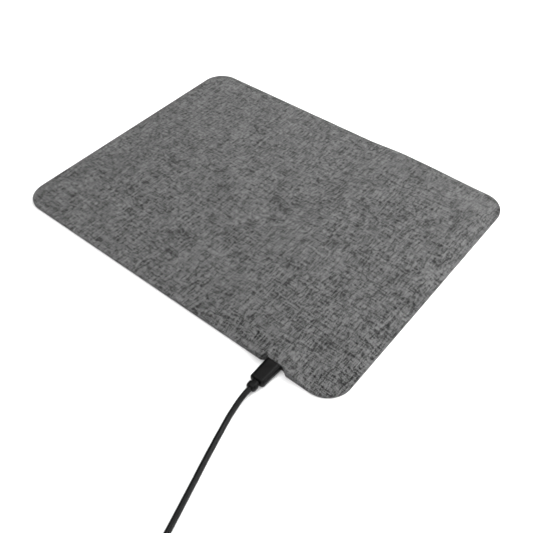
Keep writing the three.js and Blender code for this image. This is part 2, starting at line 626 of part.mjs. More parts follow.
// From the plug to the wound part: level with the plug at first, then on the desk. Each point is across
// from the plug's axis, away from the end of the plug, and above the cable's resting height.
const DROP = PORT_Z - CORD_Z;
const LEAD_ROUTE = [
  [0, CORD_GAP, DROP],
  [0.05, 4.1, DROP * 0.93],
  [0.4, 8.8, DROP * 0.64],
  [1.1, 13.5, DROP * 0.33],
  [2.0, 18.5, DROP * 0.1],
  [3.1, 23.0, 0],
  [4.3, 27.4, 0],
  [5.5, 31.9, 0],
  [6.8, 36.5, 0],
  [8.1, 41.2, 0],
  [9.7, 46.7, 0],
  [11.8, 53.7, 0],
  [14.3, 62.2, 0],
  [17.0, 71.4, 0],
  [19.7, 80.7, 0],
  [23.0, 92.7, 0],
  [26.3, 104.7, 0],
  [29.1, 114.7, 0],
].map(([across, away, above]) => [PORT_X + across, NECK_END - away, CORD_Z + above]);

add('cord_lead', wire(LEAD_ROUTE, CORD_DIAMETER, 8, 18), FINISH.cable);

// The wound part: a ring as wide and as high as its rows of turns.
const HANK_HALF_WIDTH = ((LOWER_TURNS - 1) * TURN_PITCH + CORD_DIAMETER) / 2;
const HANK_HEIGHT = (TURN_PITCH * Math.sqrt(3)) / 2 + CORD_DIAMETER;
const HANK_OUTER = COIL_MEAN_RADIUS + HANK_HALF_WIDTH;
const HANK_INNER = COIL_MEAN_RADIUS - HANK_HALF_WIDTH;

function woundRing() {
  const [low, high, slope] = [HANK_LIFT, HANK_LIFT + HANK_HEIGHT, TURN_PITCH / 2];
  const profile = [
    [HANK_OUTER, low], [HANK_OUTER, low + CORD_DIAMETER], [HANK_OUTER - slope, high],
    [HANK_INNER + slope, high], [HANK_INNER, low + CORD_DIAMETER], [HANK_INNER, low], [HANK_OUTER, low],
  ].map(([radius, height]) => new THREE.Vector2(radius, height));
  return new THREE.LatheGeometry(profile, 40).rotateX(Math.PI / 2).translate(HANK_X, HANK_Y, 0);
}

add('cord_coil', woundRing(), FINISH.cable);

// Strap round the turns, on the side away from the lead. The ring curves inwards across its width.
function strap() {
  const nearest = Math.sqrt(HANK_INNER ** 2 - (STRAP_WIDTH / 2) ** 2) - CLEARANCE;
  const farthest = HANK_OUTER + CLEARANCE;
  const innerWidth = farthest - nearest;
  const innerHeight = HANK_HEIGHT + 2 * BOND;
  const [width, height] = [innerWidth + 2 * STRAP_THICKNESS, innerHeight + 2 * STRAP_THICKNESS];
  const outer = roundedRect(width, height, STRAP_RADIUS);
  const section = hollow(outer, roundedRect(innerWidth, innerHeight, CLEARANCE));
  const middle = new THREE.Vector3(
    HANK_X - (nearest + farthest) / 2, HANK_Y + STRAP_WIDTH / 2, HANK_LIFT + HANK_HEIGHT / 2,
  );
  return bar(section, middle, OUTWARD, STRAP_WIDTH);
}

add('cord_tie', strap(), FINISH.strap);

// ---- far plug -------------------------------------------------------------------------------------

const FAR_HEADING = new THREE.Vector3(-1, 0, 0);
const FAR_Y = HANK_Y - HANK_OUTER - CORD_DIAMETER / 2 - TAIL_GAP;
const FAR_Z = FAR_HEIGHT / 2 + BOND;
const FAR_RELIEF_START = HANK_X - TAIL_LENGTH;
const FAR_BODY_START = FAR_RELIEF_START - FAR_RELIEF_LENGTH;
const FAR_BODY_END = FAR_BODY_START - FAR_LENGTH;
const farPoint = (x) => new THREE.Vector3(x, FAR_Y, FAR_Z);

// From the wound part to the far plug: shares of the tail's length and of the climb to the plug's axis.
const TAIL_ROUTE = [[0, 0], [0.24, 0.06], [0.48, 0.34], [0.72, 0.72], [1, 1]].map(([along, climb]) => [
  HANK_X - along * (TAIL_LENGTH - CORD_GAP),
  FAR_Y,
  CORD_Z + climb * (FAR_Z - CORD_Z),
]);

add('cord_tail', wire(TAIL_ROUTE, CORD_DIAMETER, 8, 5), FINISH.cable);

function farRelief() {
  const [[thin, thick], length] = [FAR_RELIEF_RADII, FAR_RELIEF_LENGTH - SEAT];
  const profile = [[0, 0], [thin, 0], [thick, length], [0, length]];
  const cone = new THREE.LatheGeometry(profile.map(([r, h]) => new THREE.Vector2(r, h)), 16);
  return cone.rotateZ(Math.PI / 2).translate(FAR_RELIEF_START, FAR_Y, FAR_Z);
}

function farBody() {
  const section = roundedRect(FAR_WIDTH, FAR_HEIGHT, FAR_RADIUS);
  const block = bar(section, farPoint(FAR_BODY_START), FAR_HEADING, FAR_LENGTH);
  const seat = roundedRect(FAR_SHELL_WIDTH + 2 * SEAT, FAR_SHELL_HEIGHT + 2 * SEAT, SEAT);
  const start = farPoint(FAR_BODY_END + FAR_SHELL_SUNK + SEAT);
  const pocket = bar(seat, start, FAR_HEADING, FAR_SHELL_SUNK + OVERSHOOT);
  return solidOf(block).subtract(solidOf(pocket));
}

function farShell() {
  const [width, height] = [FAR_SHELL_WIDTH, FAR_SHELL_HEIGHT];
  const bore = roundedRect(width - 2 * FAR_SHELL_WALL, height - 2 * FAR_SHELL_WALL, SEAT);
  const section = hollow(roundedRect(width, height, FAR_SHELL_RADIUS), bore);
  return bar(section, farPoint(FAR_BODY_END + FAR_SHELL_SUNK), FAR_HEADING, FAR_SHELL_SUNK + FAR_SHELL_REACH);
}

const FAR_TIP = FAR_BODY_END - FAR_SHELL_REACH;
const FAR_BORE_HALF = FAR_SHELL_HEIGHT / 2 - FAR_SHELL_WALL;
const FAR_BLOCK_TOP = FAR_Z - FAR_BORE_HALF + SEAT + FAR_BLOCK_THICKNESS;

// The block in the lower half of the shell.
function farInsulator() {
  const half = FAR_SHELL_WIDTH / 2 - FAR_SHELL_WALL - SEAT * 2;
  return boxBetween(
    [FAR_TIP + FAR_BLOCK_SETBACK, FAR_Y - half, FAR_Z - FAR_BORE_HALF + SEAT],
    [FAR_BODY_END + FAR_SHELL_SUNK, FAR_Y + half, FAR_BLOCK_TOP],
  );
}

add('usb_a_strain_relief', farRelief(), FINISH.overmould);
add('usb_a_overmould', farBody(), FINISH.overmould);
add('usb_a_shell', farShell(), FINISH.steel);
add('usb_a_insulator', farInsulator(), FINISH.insulator);
FAR_CONTACT_SPREAD.forEach((across, i) => {
  add(`usb_a_contact_${i + 1}`, boxBetween(
    [FAR_TIP + 3 * FAR_BLOCK_SETBACK, FAR_Y + across - FAR_CONTACT_WIDTH / 2, FAR_BLOCK_TOP + SEAT],
    [FAR_BODY_END - 1, FAR_Y + across + FAR_CONTACT_WIDTH / 2, FAR_BLOCK_TOP + SEAT + FAR_CONTACT_THICKNESS],
  ), FINISH.contact);
});

export default object;
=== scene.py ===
import math

import bpy
import numpy as np
from bpy.props import FloatProperty, FloatVectorProperty, PointerProperty
from mathutils import Matrix, Vector


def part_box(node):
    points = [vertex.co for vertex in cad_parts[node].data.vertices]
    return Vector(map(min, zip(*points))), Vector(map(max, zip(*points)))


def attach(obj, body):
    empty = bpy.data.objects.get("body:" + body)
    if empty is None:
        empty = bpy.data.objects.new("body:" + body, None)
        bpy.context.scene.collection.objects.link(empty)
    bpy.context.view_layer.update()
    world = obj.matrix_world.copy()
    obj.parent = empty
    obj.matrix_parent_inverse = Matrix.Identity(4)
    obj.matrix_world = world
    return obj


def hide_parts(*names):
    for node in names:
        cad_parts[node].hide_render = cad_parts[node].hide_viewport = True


bl_info = {
    "name": "Fabric Charging Mat",
    "version": (1, 0, 0),
    "blender": (4, 5, 0),
    "location": "View3D > Sidebar > Charging Mat",
    "description": "Makes the woven top, socket, plugs and wound lead of a wireless charging desk mat",
    "category": "Object",
}

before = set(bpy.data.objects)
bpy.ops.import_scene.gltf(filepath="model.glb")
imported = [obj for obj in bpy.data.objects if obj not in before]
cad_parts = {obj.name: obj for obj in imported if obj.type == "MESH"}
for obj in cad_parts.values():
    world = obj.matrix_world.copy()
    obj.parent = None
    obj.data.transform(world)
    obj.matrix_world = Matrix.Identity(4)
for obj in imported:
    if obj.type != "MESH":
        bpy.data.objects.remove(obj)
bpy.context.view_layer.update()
MM = 0.001

# ---- places taken from the frame ------------------------------------------------------------

def size_of(node):
    """A solid's size and its middle."""
    low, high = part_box(node)
    return high - low, (low + high) / 2


FABRIC_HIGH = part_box("top_fabric")[1]
BEZEL_LOW, BEZEL_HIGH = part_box("port_housing")
BASE_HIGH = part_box("base_sheet")[1]
HALF_LENGTH, HALF_DEPTH = FABRIC_HIGH.x, FABRIC_HIGH.y
PORT = (BEZEL_LOW + BEZEL_HIGH) / 2
PORT_FACE = BEZEL_LOW.y
BEZEL_HALF = (BEZEL_HIGH.x - BEZEL_LOW.x) / 2
PLUG_AXIS_X = size_of("plug_overmould")[1].x
PLUG_AXIS_Z = sum(corner.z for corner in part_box("plug_overmould")) / 2

# The mat's relief, as its core is cut: a flat crown over the electronics and eased shoulders round it.
CORNER_RADIUS = 16 * MM
EDGE_TOP = 2.0 * MM
CROWN_X = (50 * MM, 119 * MM)
CROWN_Y = (-84 * MM, 68 * MM)
SHOULDER_X = (34 * MM, 10 * MM)
SHOULDER_Y = (14 * MM, 60 * MM)       # the back one at the crown's left end
BACK_RUN_RIGHT = 32 * MM              # and at its right end
PORT_STRIP = (9.5 * MM, 15 * MM)      # half the flat strip at the socket, and the run of its sides
NOTCH_DEPTH = 1.4 * MM
NOTCH_RAMP = 1.9 * MM
NOTCH_FADE = 14 * MM                  # how far behind the front edge the recess stops pulling the grid
PORT_GAP = 0.1 * MM                   # between the socket's bezel and the fabric
FABRIC_WALL = 0.4 * MM
FABRIC_LIFT = 0.15 * MM               # from the desk to the fabric's turned-down edge
USB_WALL = 0.25 * MM                  # both micro-USB shells


# ---- shapes worked out with numpy ---------------------------------------------------------------

def ease(t):
    """0 to 1 with level ends: half a cosine wave, (1 - cos(pi t)) / 2, held at both ends."""
    return 0.5 - 0.5 * np.cos(np.pi * np.clip(t, 0, 1))


def top_height(x, y):
    """Height of the fabric's top: the edge height, plus the crown's rise times the eased distances from
    the crown's four sides. In front of the crown a strip at the socket keeps the full rise."""
    across = ease((x - CROWN_X[0]) / SHOULDER_X[0] + 1) * ease((CROWN_X[1] - x) / SHOULDER_X[1] + 1)
    to_right = ease((x - CROWN_X[0]) / (CROWN_X[1] - CROWN_X[0]))
    run_back = SHOULDER_Y[1] + (BACK_RUN_RIGHT - SHOULDER_Y[1]) * to_right
    along = ease((y - CROWN_Y[0]) / SHOULDER_Y[0] + 1) * ease((CROWN_Y[1] - y) / run_back + 1)
    strip = ease((PORT_STRIP[0] - np.abs(x - PORT.x)) / PORT_STRIP[1] + 1)
    rise = across * np.maximum(along, np.where(y < CROWN_Y[0], strip, 0))
    return EDGE_TOP + (FABRIC_HIGH.z - EDGE_TOP) * rise


def graded_lines(low, high, coarse, *fine):
    """Places from low to high about coarse apart, and closer inside each (middle, reach, spacing): the
    wanted number of lines per metre is summed along the way and cut into equal parts."""
    x = np.linspace(low, high, 6001)
    density = np.full(x.shape, 1 / coarse)
    for middle, reach, spacing in fine:
        density = np.maximum(density, np.exp(-((x - middle) / reach) ** 4) / spacing)
    total = np.concatenate([[0], np.cumsum((density[1:] + density[:-1]) / 2 * np.diff(x))])
    return np.interp(np.linspace(0, total[-1], math.ceil(total[-1]) + 1), total, x)


def mat_plan(inset, coarse):
    """A grid that fills the mat's plan, that much smaller all round. In each corner square the point
    (p, q) moves to (p sqrt(1 - q q / 2), q sqrt(1 - p p / 2)), which bends the square's outer sides into
    the corner's arc. Near the front edge the rows move back into the socket's recess."""
    half_x, half_y, radius = HALF_LENGTH - inset, HALF_DEPTH - inset, CORNER_RADIUS - inset
    x = graded_lines(-half_x, half_x, coarse, (PORT.x, 12 * MM, 0.55 * MM),
                     (-half_x, 3 * MM, coarse / 2), (half_x, 6 * MM, coarse / 2))
    y = graded_lines(-half_y, half_y, coarse, (-half_y, 5 * MM, coarse / 3), (half_y, 3 * MM, coarse / 2))
    x, y = np.meshgrid(x, y)
    p = np.clip((np.abs(x) - half_x + radius) / radius, 0, 1)
    q = np.clip((np.abs(y) - half_y + radius) / radius, 0, 1)
    corner = (p > 0) & (q > 0)
    bent_x = half_x - radius + radius * p * np.sqrt(1 - q * q / 2)
    bent_y = half_y - radius + radius * q * np.sqrt(1 - p * p / 2)
    x, y = np.where(corner, np.sign(x) * bent_x, x), np.where(corner, np.sign(y) * bent_y, y)
    floor_half = BEZEL_HALF + PORT_GAP + inset
    recess = NOTCH_DEPTH * np.clip((floor_half + NOTCH_RAMP - np.abs(x - PORT.x)) / NOTCH_RAMP, 0, 1)
    y = y + recess * np.clip(1 - (y + half_y) / NOTCH_FADE, 0, 1) ** 2
    return x, y


def numbered(rows, columns):
    return np.arange(rows * columns).reshape(rows, columns)


def grid_faces(rows, columns, wrap_rows=False, wrap_columns=False):
    """Four-sided faces of a grid of points numbered row by row."""
    number = numbered(rows, columns)
    if wrap_rows:
        number = np.concatenate([number, number[:1]])
    if wrap_columns:
        number = np.concatenate([number, number[:, :1]], axis=1)
    return np.stack([number[:-1, :-1], number[:-1, 1:], number[1:, 1:], number[1:, :-1]], -1).reshape(-1, 4)


def rim_of(rows, columns):
    """Numbers of a grid's outer points, once round: along the first row, up the last column, and back."""
    number = numbered(rows, columns)
    return np.concatenate([number[0, :-1], number[:-1, -1], number[-1, :0:-1], number[:0:-1, 0]])


def rim_outward(points):
    """Outward directions in plan at the points of a closed rim that runs anticlockwise."""
    along = np.roll(points[:, :2], -1, 0) - np.roll(points[:, :2], 1, 0)
    along /= np.linalg.norm(along, axis=1)[:, None]
    return np.stack([along[:, 1], -along[:, 0]], 1)


def corner_path(cut, radius, steps):
    """A quarter of an outline, from the side to the top, from a corner at the origin: an arc when cut is
    zero, else a 45 degree cut whose two ends are arcs of the radius."""
    turn = np.linspace(0, np.pi / 2, steps)
    reach = cut + radius * math.tan(np.pi / 8) if cut else radius
    side = turn < np.pi / 4
    centre = np.stack([np.where(side, -radius, -reach), np.where(side, -reach, -radius)], 1)
    return centre + radius * np.stack([np.cos(turn), np.sin(turn)], 1)


def section(width, height, upper, lower, inset=0.0, steps=8, wide=None):
    """A closed outline (across, up) with its upper and lower corners each given as (cut, radius), drawn
    smaller by the inset. wide has the places of extra points, as shares of the two wide sides."""
    def quarter(kind, x, y):
        cut, radius = kind
        path = corner_path(max(cut - inset * (2 - math.sqrt(2)), 0), max(radius - inset, 0.04 * MM), steps)
        return (path + [width / 2 - inset, height / 2 - inset]) * [x, y]
    wide = np.linspace(0, 1, 7)[1:-1] if wide is None else wide
    narrow = np.linspace(0, 1, 4)[1:-1]
    quarters = [quarter(upper, 1, 1), quarter(upper, -1, 1)[::-1],
                quarter(lower, -1, -1), quarter(lower, 1, -1)[::-1]]
    parts = []
    for number, (here, after) in enumerate(zip(quarters, quarters[1:] + quarters[:1])):
        share = (wide, narrow)[number % 2][:, None]
        parts += [here, here[-1] * (1 - share) + after[0] * share]
    return np.concatenate(parts)


def rounded_end(radius, steps=5):
    """How far an outline is drawn in and how far it has come forward, on the way round an edge: a quarter
    circle from the flat end to the side."""
    turn = np.linspace(0, np.pi / 2, steps)
    return radius * (1 - np.sin(turn)), radius * (1 - np.cos(turn))


def along_y(outline, y, x=0.0, z=0.0):
    """An outline (across, up) stood at a place along Y."""
    return np.stack([outline[:, 0] + x, np.full(len(outline), y), outline[:, 1] + z], 1)


def along_x(outline, x, y=0.0, z=0.0):
    """An outline (across, up) stood at a place along X."""
    return np.stack([np.full(len(outline), x), outline[:, 0] + y, outline[:, 1] + z], 1)


def capped(rings):
    """A skin through rings of points, closed at both ends by a ring half way in and a middle point."""
    rings = np.asarray(rings)
    ends = [rings[0].mean(0), rings[-1].mean(0)]
    rings = np.concatenate([[(rings[0] + ends[0]) / 2], rings, [(rings[-1] + ends[1]) / 2]])
    rows, columns = rings.shape[:2]
    faces = grid_faces(rows, columns, wrap_columns=True).tolist()
    first, last = np.arange(columns), np.arange(columns) + (rows - 1) * columns
    pole = rows * columns
    faces += np.stack([np.full(columns, pole), np.roll(first, -1), first], 1).tolist()
    faces += np.stack([np.full(columns, pole + 1), last, np.roll(last, -1)], 1).tolist()
    return np.concatenate([rings.reshape(-1, 3), ends]), faces


def closed_ring(rings):
    """A skin through rings of points whose last joins the first, like the skin of a tyre."""
    rings = np.asarray(rings)
    return rings.reshape(-1, 3), grid_faces(*rings.shape[:2], True, True).tolist()


def outward(points, faces):
    """The faces, turned round if they enclose a negative volume."""
    fans = np.array([(face[0], face[i], face[i + 1]) for face in faces for i in range(1, len(face) - 1)])
    a, b, c = (points[fans[:, i]] for i in range(3))
    return [face[::-1] for face in faces] if (a * np.cross(b, c)).sum() < 0 else faces


def make_piece(name, points, faces, look, body, slot, replaces=(), cloth=None, crease=38, closed=True):
    """A smooth-shaded object at the origin from points and faces, with creases where faces meet sharply and
    along the free edges of an open skin. look names its finish. It rides on a body and stands for the named
    solids of the frame."""
    mesh = bpy.data.meshes.new(name)
    mesh.from_pydata(np.asarray(points).tolist(), [], outward(points, faces) if closed else faces)
    mesh.update()
    mesh.shade_smooth()
    mesh.set_sharp_from_angle(angle=math.radians(crease))
    if not closed:
        used = np.empty(len(mesh.loops), np.int32)
        mesh.loops.foreach_get("edge_index", used)
        sharp = np.empty(len(mesh.edges), bool)
        mesh.edges.foreach_get("use_edge_sharp", sharp)
        sharp |= np.bincount(used, minlength=len(sharp)) == 1
        mesh.edges.foreach_set("use_edge_sharp", sharp)
    if cloth is not None:
        corners = np.empty(len(mesh.loops), np.int32)
        mesh.loops.foreach_get("vertex_index", corners)
        layer = mesh.uv_layers.new(name="cloth")
        layer.data.foreach_set("uv", np.asarray(cloth)[corners].astype(np.float32).ravel())
    mesh.materials.append(finish(look))
    piece = bpy.data.objects.new(name, mesh)
    bpy.context.scene.collection.objects.link(piece)
    return settle(piece, body, replaces)


def settle(piece, body, replaces=()):
    """Gives a piece its body and the solids it stands for."""
    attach(piece, body)
    if replaces:
        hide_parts(*replaces)
    return piece


def thicken(piece, thickness, offset=-1.0):
    """Gives a single skin its wall: inwards for an offset of -1, half to each side for 0."""
    wall = piece.modifiers.new("wall", "SOLIDIFY")
    wall.thickness, wall.offset = thickness, offset
    return piece


# ---- finishes ---------------------------------------------------------------------------------

class Finish:
    """A procedural material. Each step adds one node and gives back its output socket."""

    def __init__(self, name, color, roughness, metallic=0.0, specular=0.5):
        self.material = bpy.data.materials.new(name)
        self.material.use_nodes = True
        self.nodes, self.links = self.material.node_tree.nodes, self.material.node_tree.links
        self.shader = self.nodes["Principled BSDF"]
        self.set("Base Color", (*color, 1.0))
        self.set("Roughness", roughness)
        self.set("Metallic", metallic)
        self.set("Specular IOR Level", specular)

    def put(self, socket, value):
        if isinstance(value, bpy.types.NodeSocket):
            self.links.new(value, socket)
        else:
            socket.default_value = value

    def set(self, name, value):
        self.put(self.shader.inputs[name], value)
        return self

    def node(self, kind, inputs=(), **settings):
        made = self.nodes.new(kind)
        for name, value in settings.items():
            setattr(made, name, value)
        for name, value in dict(inputs).items():
            self.put(made.inputs[name], value)
        return made

    def place(self):
        """The piece's own coordinates, in metres."""
        return self.node("ShaderNodeTexCoord").outputs["Object"]

    def cloth(self):
        """The flat cloth's coordinates, in metres."""
        return self.node("ShaderNodeUVMap", uv_map="cloth").outputs["UV"]

    def parts(self, vector):
        split = self.node("ShaderNodeSeparateXYZ", {"Vector": vector})
        return split.outputs["X"], split.outputs["Y"], split.outputs["Z"]

    def vector(self, x=0.0, y=0.0, z=0.0):
        return self.node("ShaderNodeCombineXYZ", {"X": x, "Y": y, "Z": z}).outputs[0]

    def math(self, operation, first, second=0.0, clamp=False):
        made = self.node("ShaderNodeMath", {0: first, 1: second}, operation=operation, use_clamp=clamp)
        return made.outputs[0]

    def plus(self, first, second, clamp=False):
        return self.math("ADD", first, second, clamp)

    def minus(self, first, second):
        return self.math("SUBTRACT", first, second)

    def times(self, first, second):
        return self.math("MULTIPLY", first, second)

    def stretch(self, vector, x, y, z):
        return self.node("ShaderNodeMapping", {"Vector": vector, "Scale": (x, y, z)}).outputs[0]

    def noise(self, vector, scale, detail=2.0, roughness=0.5, distortion=0.0):
        return self.node("ShaderNodeTexNoise", {
            "Vector": vector, "Scale": scale, "Detail": detail, "Roughness": roughness,
            "Distortion": distortion,
        }).outputs[0]

    def cells(self, vector, scale):
        return self.node("ShaderNodeTexVoronoi", {"Vector": vector, "Scale": scale}).outputs["Distance"]

    def range(self, value, low, high, to_low=0.0, to_high=1.0, kind="LINEAR"):
        return self.node("ShaderNodeMapRange", {
            "Value": value, "From Min": low, "From Max": high, "To Min": to_low, "To Max": to_high,
        }, interpolation_type=kind).outputs[0]

    def blend(self, share, first, second):
        """Mixes two colours, each (r, g, b) or a socket."""
        first, second = ((*value, 1.0) if isinstance(value, tuple) else value for value in (first, second))
        return self.node("ShaderNodeMix", {0: share, 6: first, 7: second}, data_type="RGBA").outputs[2]

    def relief(self, height, depth, strength=1.0, over=None):
        """Bumps of the given depth, on top of another relief where one is given."""
        inputs = {"Height": height, "Distance": depth, "Strength": strength}
        if over is not None:
            inputs["Normal"] = over
        return self.node("ShaderNodeBump", inputs).outputs[0]


LATTICE_STEP = 1.1 * MM               # of the underside's raised diamonds
WIRE_STEP = 1.1 * MM                  # from one turn of the coil's wire to the next


def settings():
    return bpy.context.scene.charging_mat


def woven_melange(name):
    """Plain weave of mottled yarns. Warp i and weft j cross in a chessboard; each yarn is a round ridge
    that rises and dives along a sine, and its shade drifts between dark and pale along its length. In
    patches the warp or the weft stands prouder and covers the other."""
    cloth = settings()
    made = Finish(name, cloth.yarn_color, 0.92, specular=0.12)
    place = made.cloth()
    wander = made.node("ShaderNodeTexNoise", {"Vector": place, "Scale": 260.0, "Detail": 1.0})
    lean = made.node("ShaderNodeVectorMath", {0: wander.outputs["Color"], 1: (0.5, 0.5, 0.5)},
                     operation="SUBTRACT").outputs[0]
    drift = made.node("ShaderNodeVectorMath", {0: lean, "Scale": 0.35 * cloth.yarn_pitch},
                      operation="SCALE").outputs[0]
    moved = made.node("ShaderNodeVectorMath", {0: place, 1: drift}, operation="ADD").outputs[0]
    u, v, _ = made.parts(moved)
    a, b = (made.math("DIVIDE", value, cloth.yarn_pitch) for value in (u, v))
    i, j = made.math("FLOOR", a), made.math("FLOOR", b)

    def yarn(number, position, other, along, run, seed, sign):
        middle = made.minus(made.minus(position, number), 0.5)
        ridge = made.minus(1.0, made.times(made.times(middle, middle), 3.2))
        swing = made.math("SINE", made.times(made.plus(other, number), math.pi))
        height = made.plus(ridge, made.times(swing, 0.42 * sign))
        lane = made.times(number, 3.71)
        short = made.noise(made.vector(lane, made.times(along, 1 / run), seed), 1.0, 1.0, 0.6)
        long = made.noise(made.vector(lane, made.times(along, 0.3 / run), seed + 9.0), 1.0, 0.0)
        shade = made.plus(short, made.times(long, 0.6))
        return height, made.range(shade, 0.8 - cloth.melange, 0.8 + cloth.melange)

    warp_height, warp_tone = yarn(i, a, b, v, 4.2 * MM, 0.0, 1.0)
    weft_height, weft_tone = yarn(j, b, a, u, 3.4 * MM, 40.0, -1.0)
    lead_over = made.range(made.noise(place, 150.0, 1.0), 0.35, 0.65, -0.24, 0.24)
    warp_height = made.plus(warp_height, lead_over)
    warp_up = made.range(made.minus(warp_height, weft_height), -0.08, 0.08)
    height = made.math("MAXIMUM", warp_height, weft_height)
    tone = made.plus(made.times(warp_tone, warp_up),
                     made.times(weft_tone, made.minus(1.0, warp_up)))
    patch = made.noise(place, 38.0, 3.0, 0.6)
    fibre = made.noise(place, 5200.0, 2.0, 0.7)
    tone = made.plus(tone, made.range(made.plus(patch, fibre), 0.6, 1.4, -0.12, 0.12), clamp=True)
    # painted shade: where the weave lies low, between the yarns, the colour is darkened towards near-black
    gap = made.range(height, 0.35, 1.0, 0.5, 1.0)
    yarns = made.blend(tone, tuple(cloth.dark_yarn), tuple(cloth.pale_yarn))
    made.set("Base Color", made.blend(gap, (0.007, 0.007, 0.007), yarns))
    made.set("Roughness", made.range(fibre, 0.3, 0.7, 0.86, 0.98))
    fuzz = made.plus(height, made.times(fibre, 0.35))
    made.set("Normal", made.relief(fuzz, 0.16 * MM, 0.75))
    made.set("Sheen Weight", 0.12)
    made.set("Sheen Roughness", 0.5)
    return made.material


def grip_rubber(name):
    """Dark rubber pressed with a fine lattice of raised diamonds, their raised tops painted paler as a
    painted highlight.
    """
    made = Finish(name, (0.03, 0.03, 0.032), 0.75, specular=0.3)
    place = made.place()
    x, y, _ = made.parts(place)
    waves = [made.math("SINE", made.times(made.math(operation, x, y), math.pi / LATTICE_STEP))
             for operation in ("ADD", "SUBTRACT")]
    stud = made.range(made.times(*waves), -0.2, 0.45, kind="SMOOTHSTEP")
    grain = made.noise(place, 2600.0, 3.0, 0.65)
    cloud = made.noise(place, 55.0, 3.0, 0.6)
    base = made.blend(made.range(cloud, 0.3, 0.7), (0.020, 0.020, 0.021), (0.034, 0.034, 0.035))
    # painted highlight: the raised diamonds are painted paler than the ground between them
    made.set("Base Color", made.blend(made.times(stud, 0.55), base, (0.045, 0.045, 0.047)))
    made.set("Roughness", made.range(made.plus(grain, stud), 0.3, 1.6, 0.85, 0.62))
    made.set("Normal", made.relief(made.plus(stud, made.times(grain, 0.3)), 0.12 * MM, 0.8))
    return made.material


def grained_plastic(name, color, roughness, specular, grain, depth):
    """Moulded plastic with spark-eroded grain, broad soft changes in gloss and a faint paler bloom."""
    made = Finish(name, color, roughness, specular=specular)
    place = made.place()
    pits = made.noise(place, grain, 3.0, 0.6)
    cloud = made.noise(place, 210.0, 3.0, 0.55)
    paler = tuple(value * 1.7 + 0.0006 for value in color)
    made.set("Base Color", made.blend(made.range(cloud, 0.35, 0.75, 0.0, 0.5), color, paler))
    made.set("Roughness", made.range(made.plus(cloud, pits), 0.6, 1.4, roughness - 0.07, roughness + 0.08))
    made.set("Normal", made.relief(pits, depth, 0.6))
    return made.material


def plated_metal(name, color, roughness, streaks):
    """Rolled and plated metal: fine streaks along Y and faint clouds in the plating."""
    made = Finish(name, color, roughness, metallic=1.0)
    place = made.place()
    rolled = made.noise(made.stretch(place, streaks, streaks / 12, streaks), 1.0, 3.0, 0.6)
    cloud = made.noise(place, 480.0, 3.0, 0.5)
    darker = tuple(value * 0.78 for value in color)
    made.set("Base Color", made.blend(made.range(cloud, 0.3, 0.8), color, darker))
    made.set("Roughness", made.range(made.plus(rolled, cloud), 0.6, 1.4, roughness - 0.06, roughness + 0.12))
    made.set("Normal", made.relief(rolled, 0.006 * MM, 0.6))
    return made.material


def copper_winding(name):
    """Lacquered wire wound in rings round the coil's middle, each ring a ridge, with painted shade in the gap
    between rings.
    """
    made = Finish(name, (0.72, 0.32, 0.14), 0.3, metallic=1.0)
    middle = size_of("charging_coil")[1]
    x, y, _ = made.parts(made.place())
    across, along = made.minus(x, middle.x), made.minus(y, middle.y)
    squares = [made.times(value, value) for value in (across, along)]
    radius = made.math("SQRT", made.plus(*squares))
    ring = made.math("SINE", made.times(radius, 2 * math.pi / WIRE_STEP))
    varnish = made.noise(made.place(), 700.0, 3.0)
    shade = made.blend(made.range(varnish, 0.3, 0.7), (0.66, 0.27, 0.11), (0.82, 0.42, 0.20))
    # painted shade: the troughs between the wire's rings are darkened
    made.set("Base Color", made.blend(made.range(ring, -1.0, -0.2), (0.10, 0.04, 0.02), shade))
    made.set("Roughness", made.range(varnish, 0.3, 0.7, 0.24, 0.38))
    made.set("Normal", made.relief(ring, 0.05 * MM, 0.7))
    return made.material


def solder_mask(name):
    """Green lacquer over copper tracks that show as slightly raised and paler straight runs."""
    made = Finish(name, (0.012, 0.10, 0.04), 0.35)
    place = made.place()
    track = made.node("ShaderNodeTexBrick", {
        "Vector": place, "Scale": 320.0, "Mortar Size": 0.035, "Color1": (1, 1, 1, 1), "Color2": (1, 1, 1, 1),
        "Mortar": (0, 0, 0, 1), "Brick Width": 0.9, "Row Height": 0.31,
    }, offset=0.37).outputs["Fac"]
    cloud = made.noise(place, 120.0, 2.0)
    base = made.blend(made.range(cloud, 0.3, 0.7), (0.010, 0.085, 0.035), (0.014, 0.115, 0.045))
    made.set("Base Color", made.blend(made.times(track, 0.8), base, (0.03, 0.19, 0.08)))
    made.set("Roughness", made.range(cloud, 0.3, 0.7, 0.28, 0.42))
    made.set("Normal", made.relief(track, 0.02 * MM, 0.6))
    return made.material


def sandy(name, pale, dark, roughness, grain, depth):
    """A granular body: two close shades in fine grains, with scattered darker specks."""
    made = Finish(name, pale, roughness, specular=0.3)
    place = made.place()
    grains = made.noise(place, grain, 4.0, 0.7)
    specks = made.range(made.cells(place, grain / 4), 0.12, 0.22)
    shade = made.blend(made.range(grains, 0.3, 0.7), dark, pale)
    made.set("Base Color", made.blend(specks, tuple(value * 0.6 for value in dark), shade))
    made.set("Roughness", made.range(grains, 0.3, 0.7, roughness - 0.08, roughness + 0.06))
    made.set("Normal", made.relief(grains, depth, 0.7))
    return made.material


def hook_and_loop(name):
    """Black napped tape: a coarse tangle of loops over a dark ground, with a painted highlight that makes the
    pile paler towards its tips.
    """
    made = Finish(name, (0.02, 0.02, 0.022), 0.9, specular=0.15)
    place = made.place()
    loops = made.cells(made.stretch(place, 1.0, 1.4, 1.0), 2300.0)
    tangle = made.noise(place, 3600.0, 4.0, 0.7, 1.5)
    pile = made.plus(made.times(loops, 0.8), tangle)
    # painted highlight: the pile's colour goes paler with its height
    painted_tip_highlight = made.range(pile, 0.5, 1.2)
    made.set("Base Color", made.blend(painted_tip_highlight, (0.010, 0.010, 0.011), (0.045, 0.045, 0.048)))
    made.set("Roughness", made.range(tangle, 0.3, 0.7, 0.82, 0.97))
    made.set("Normal", made.relief(pile, 0.2 * MM, 0.8))
    made.set("Sheen Weight", 0.25)
    return made.material


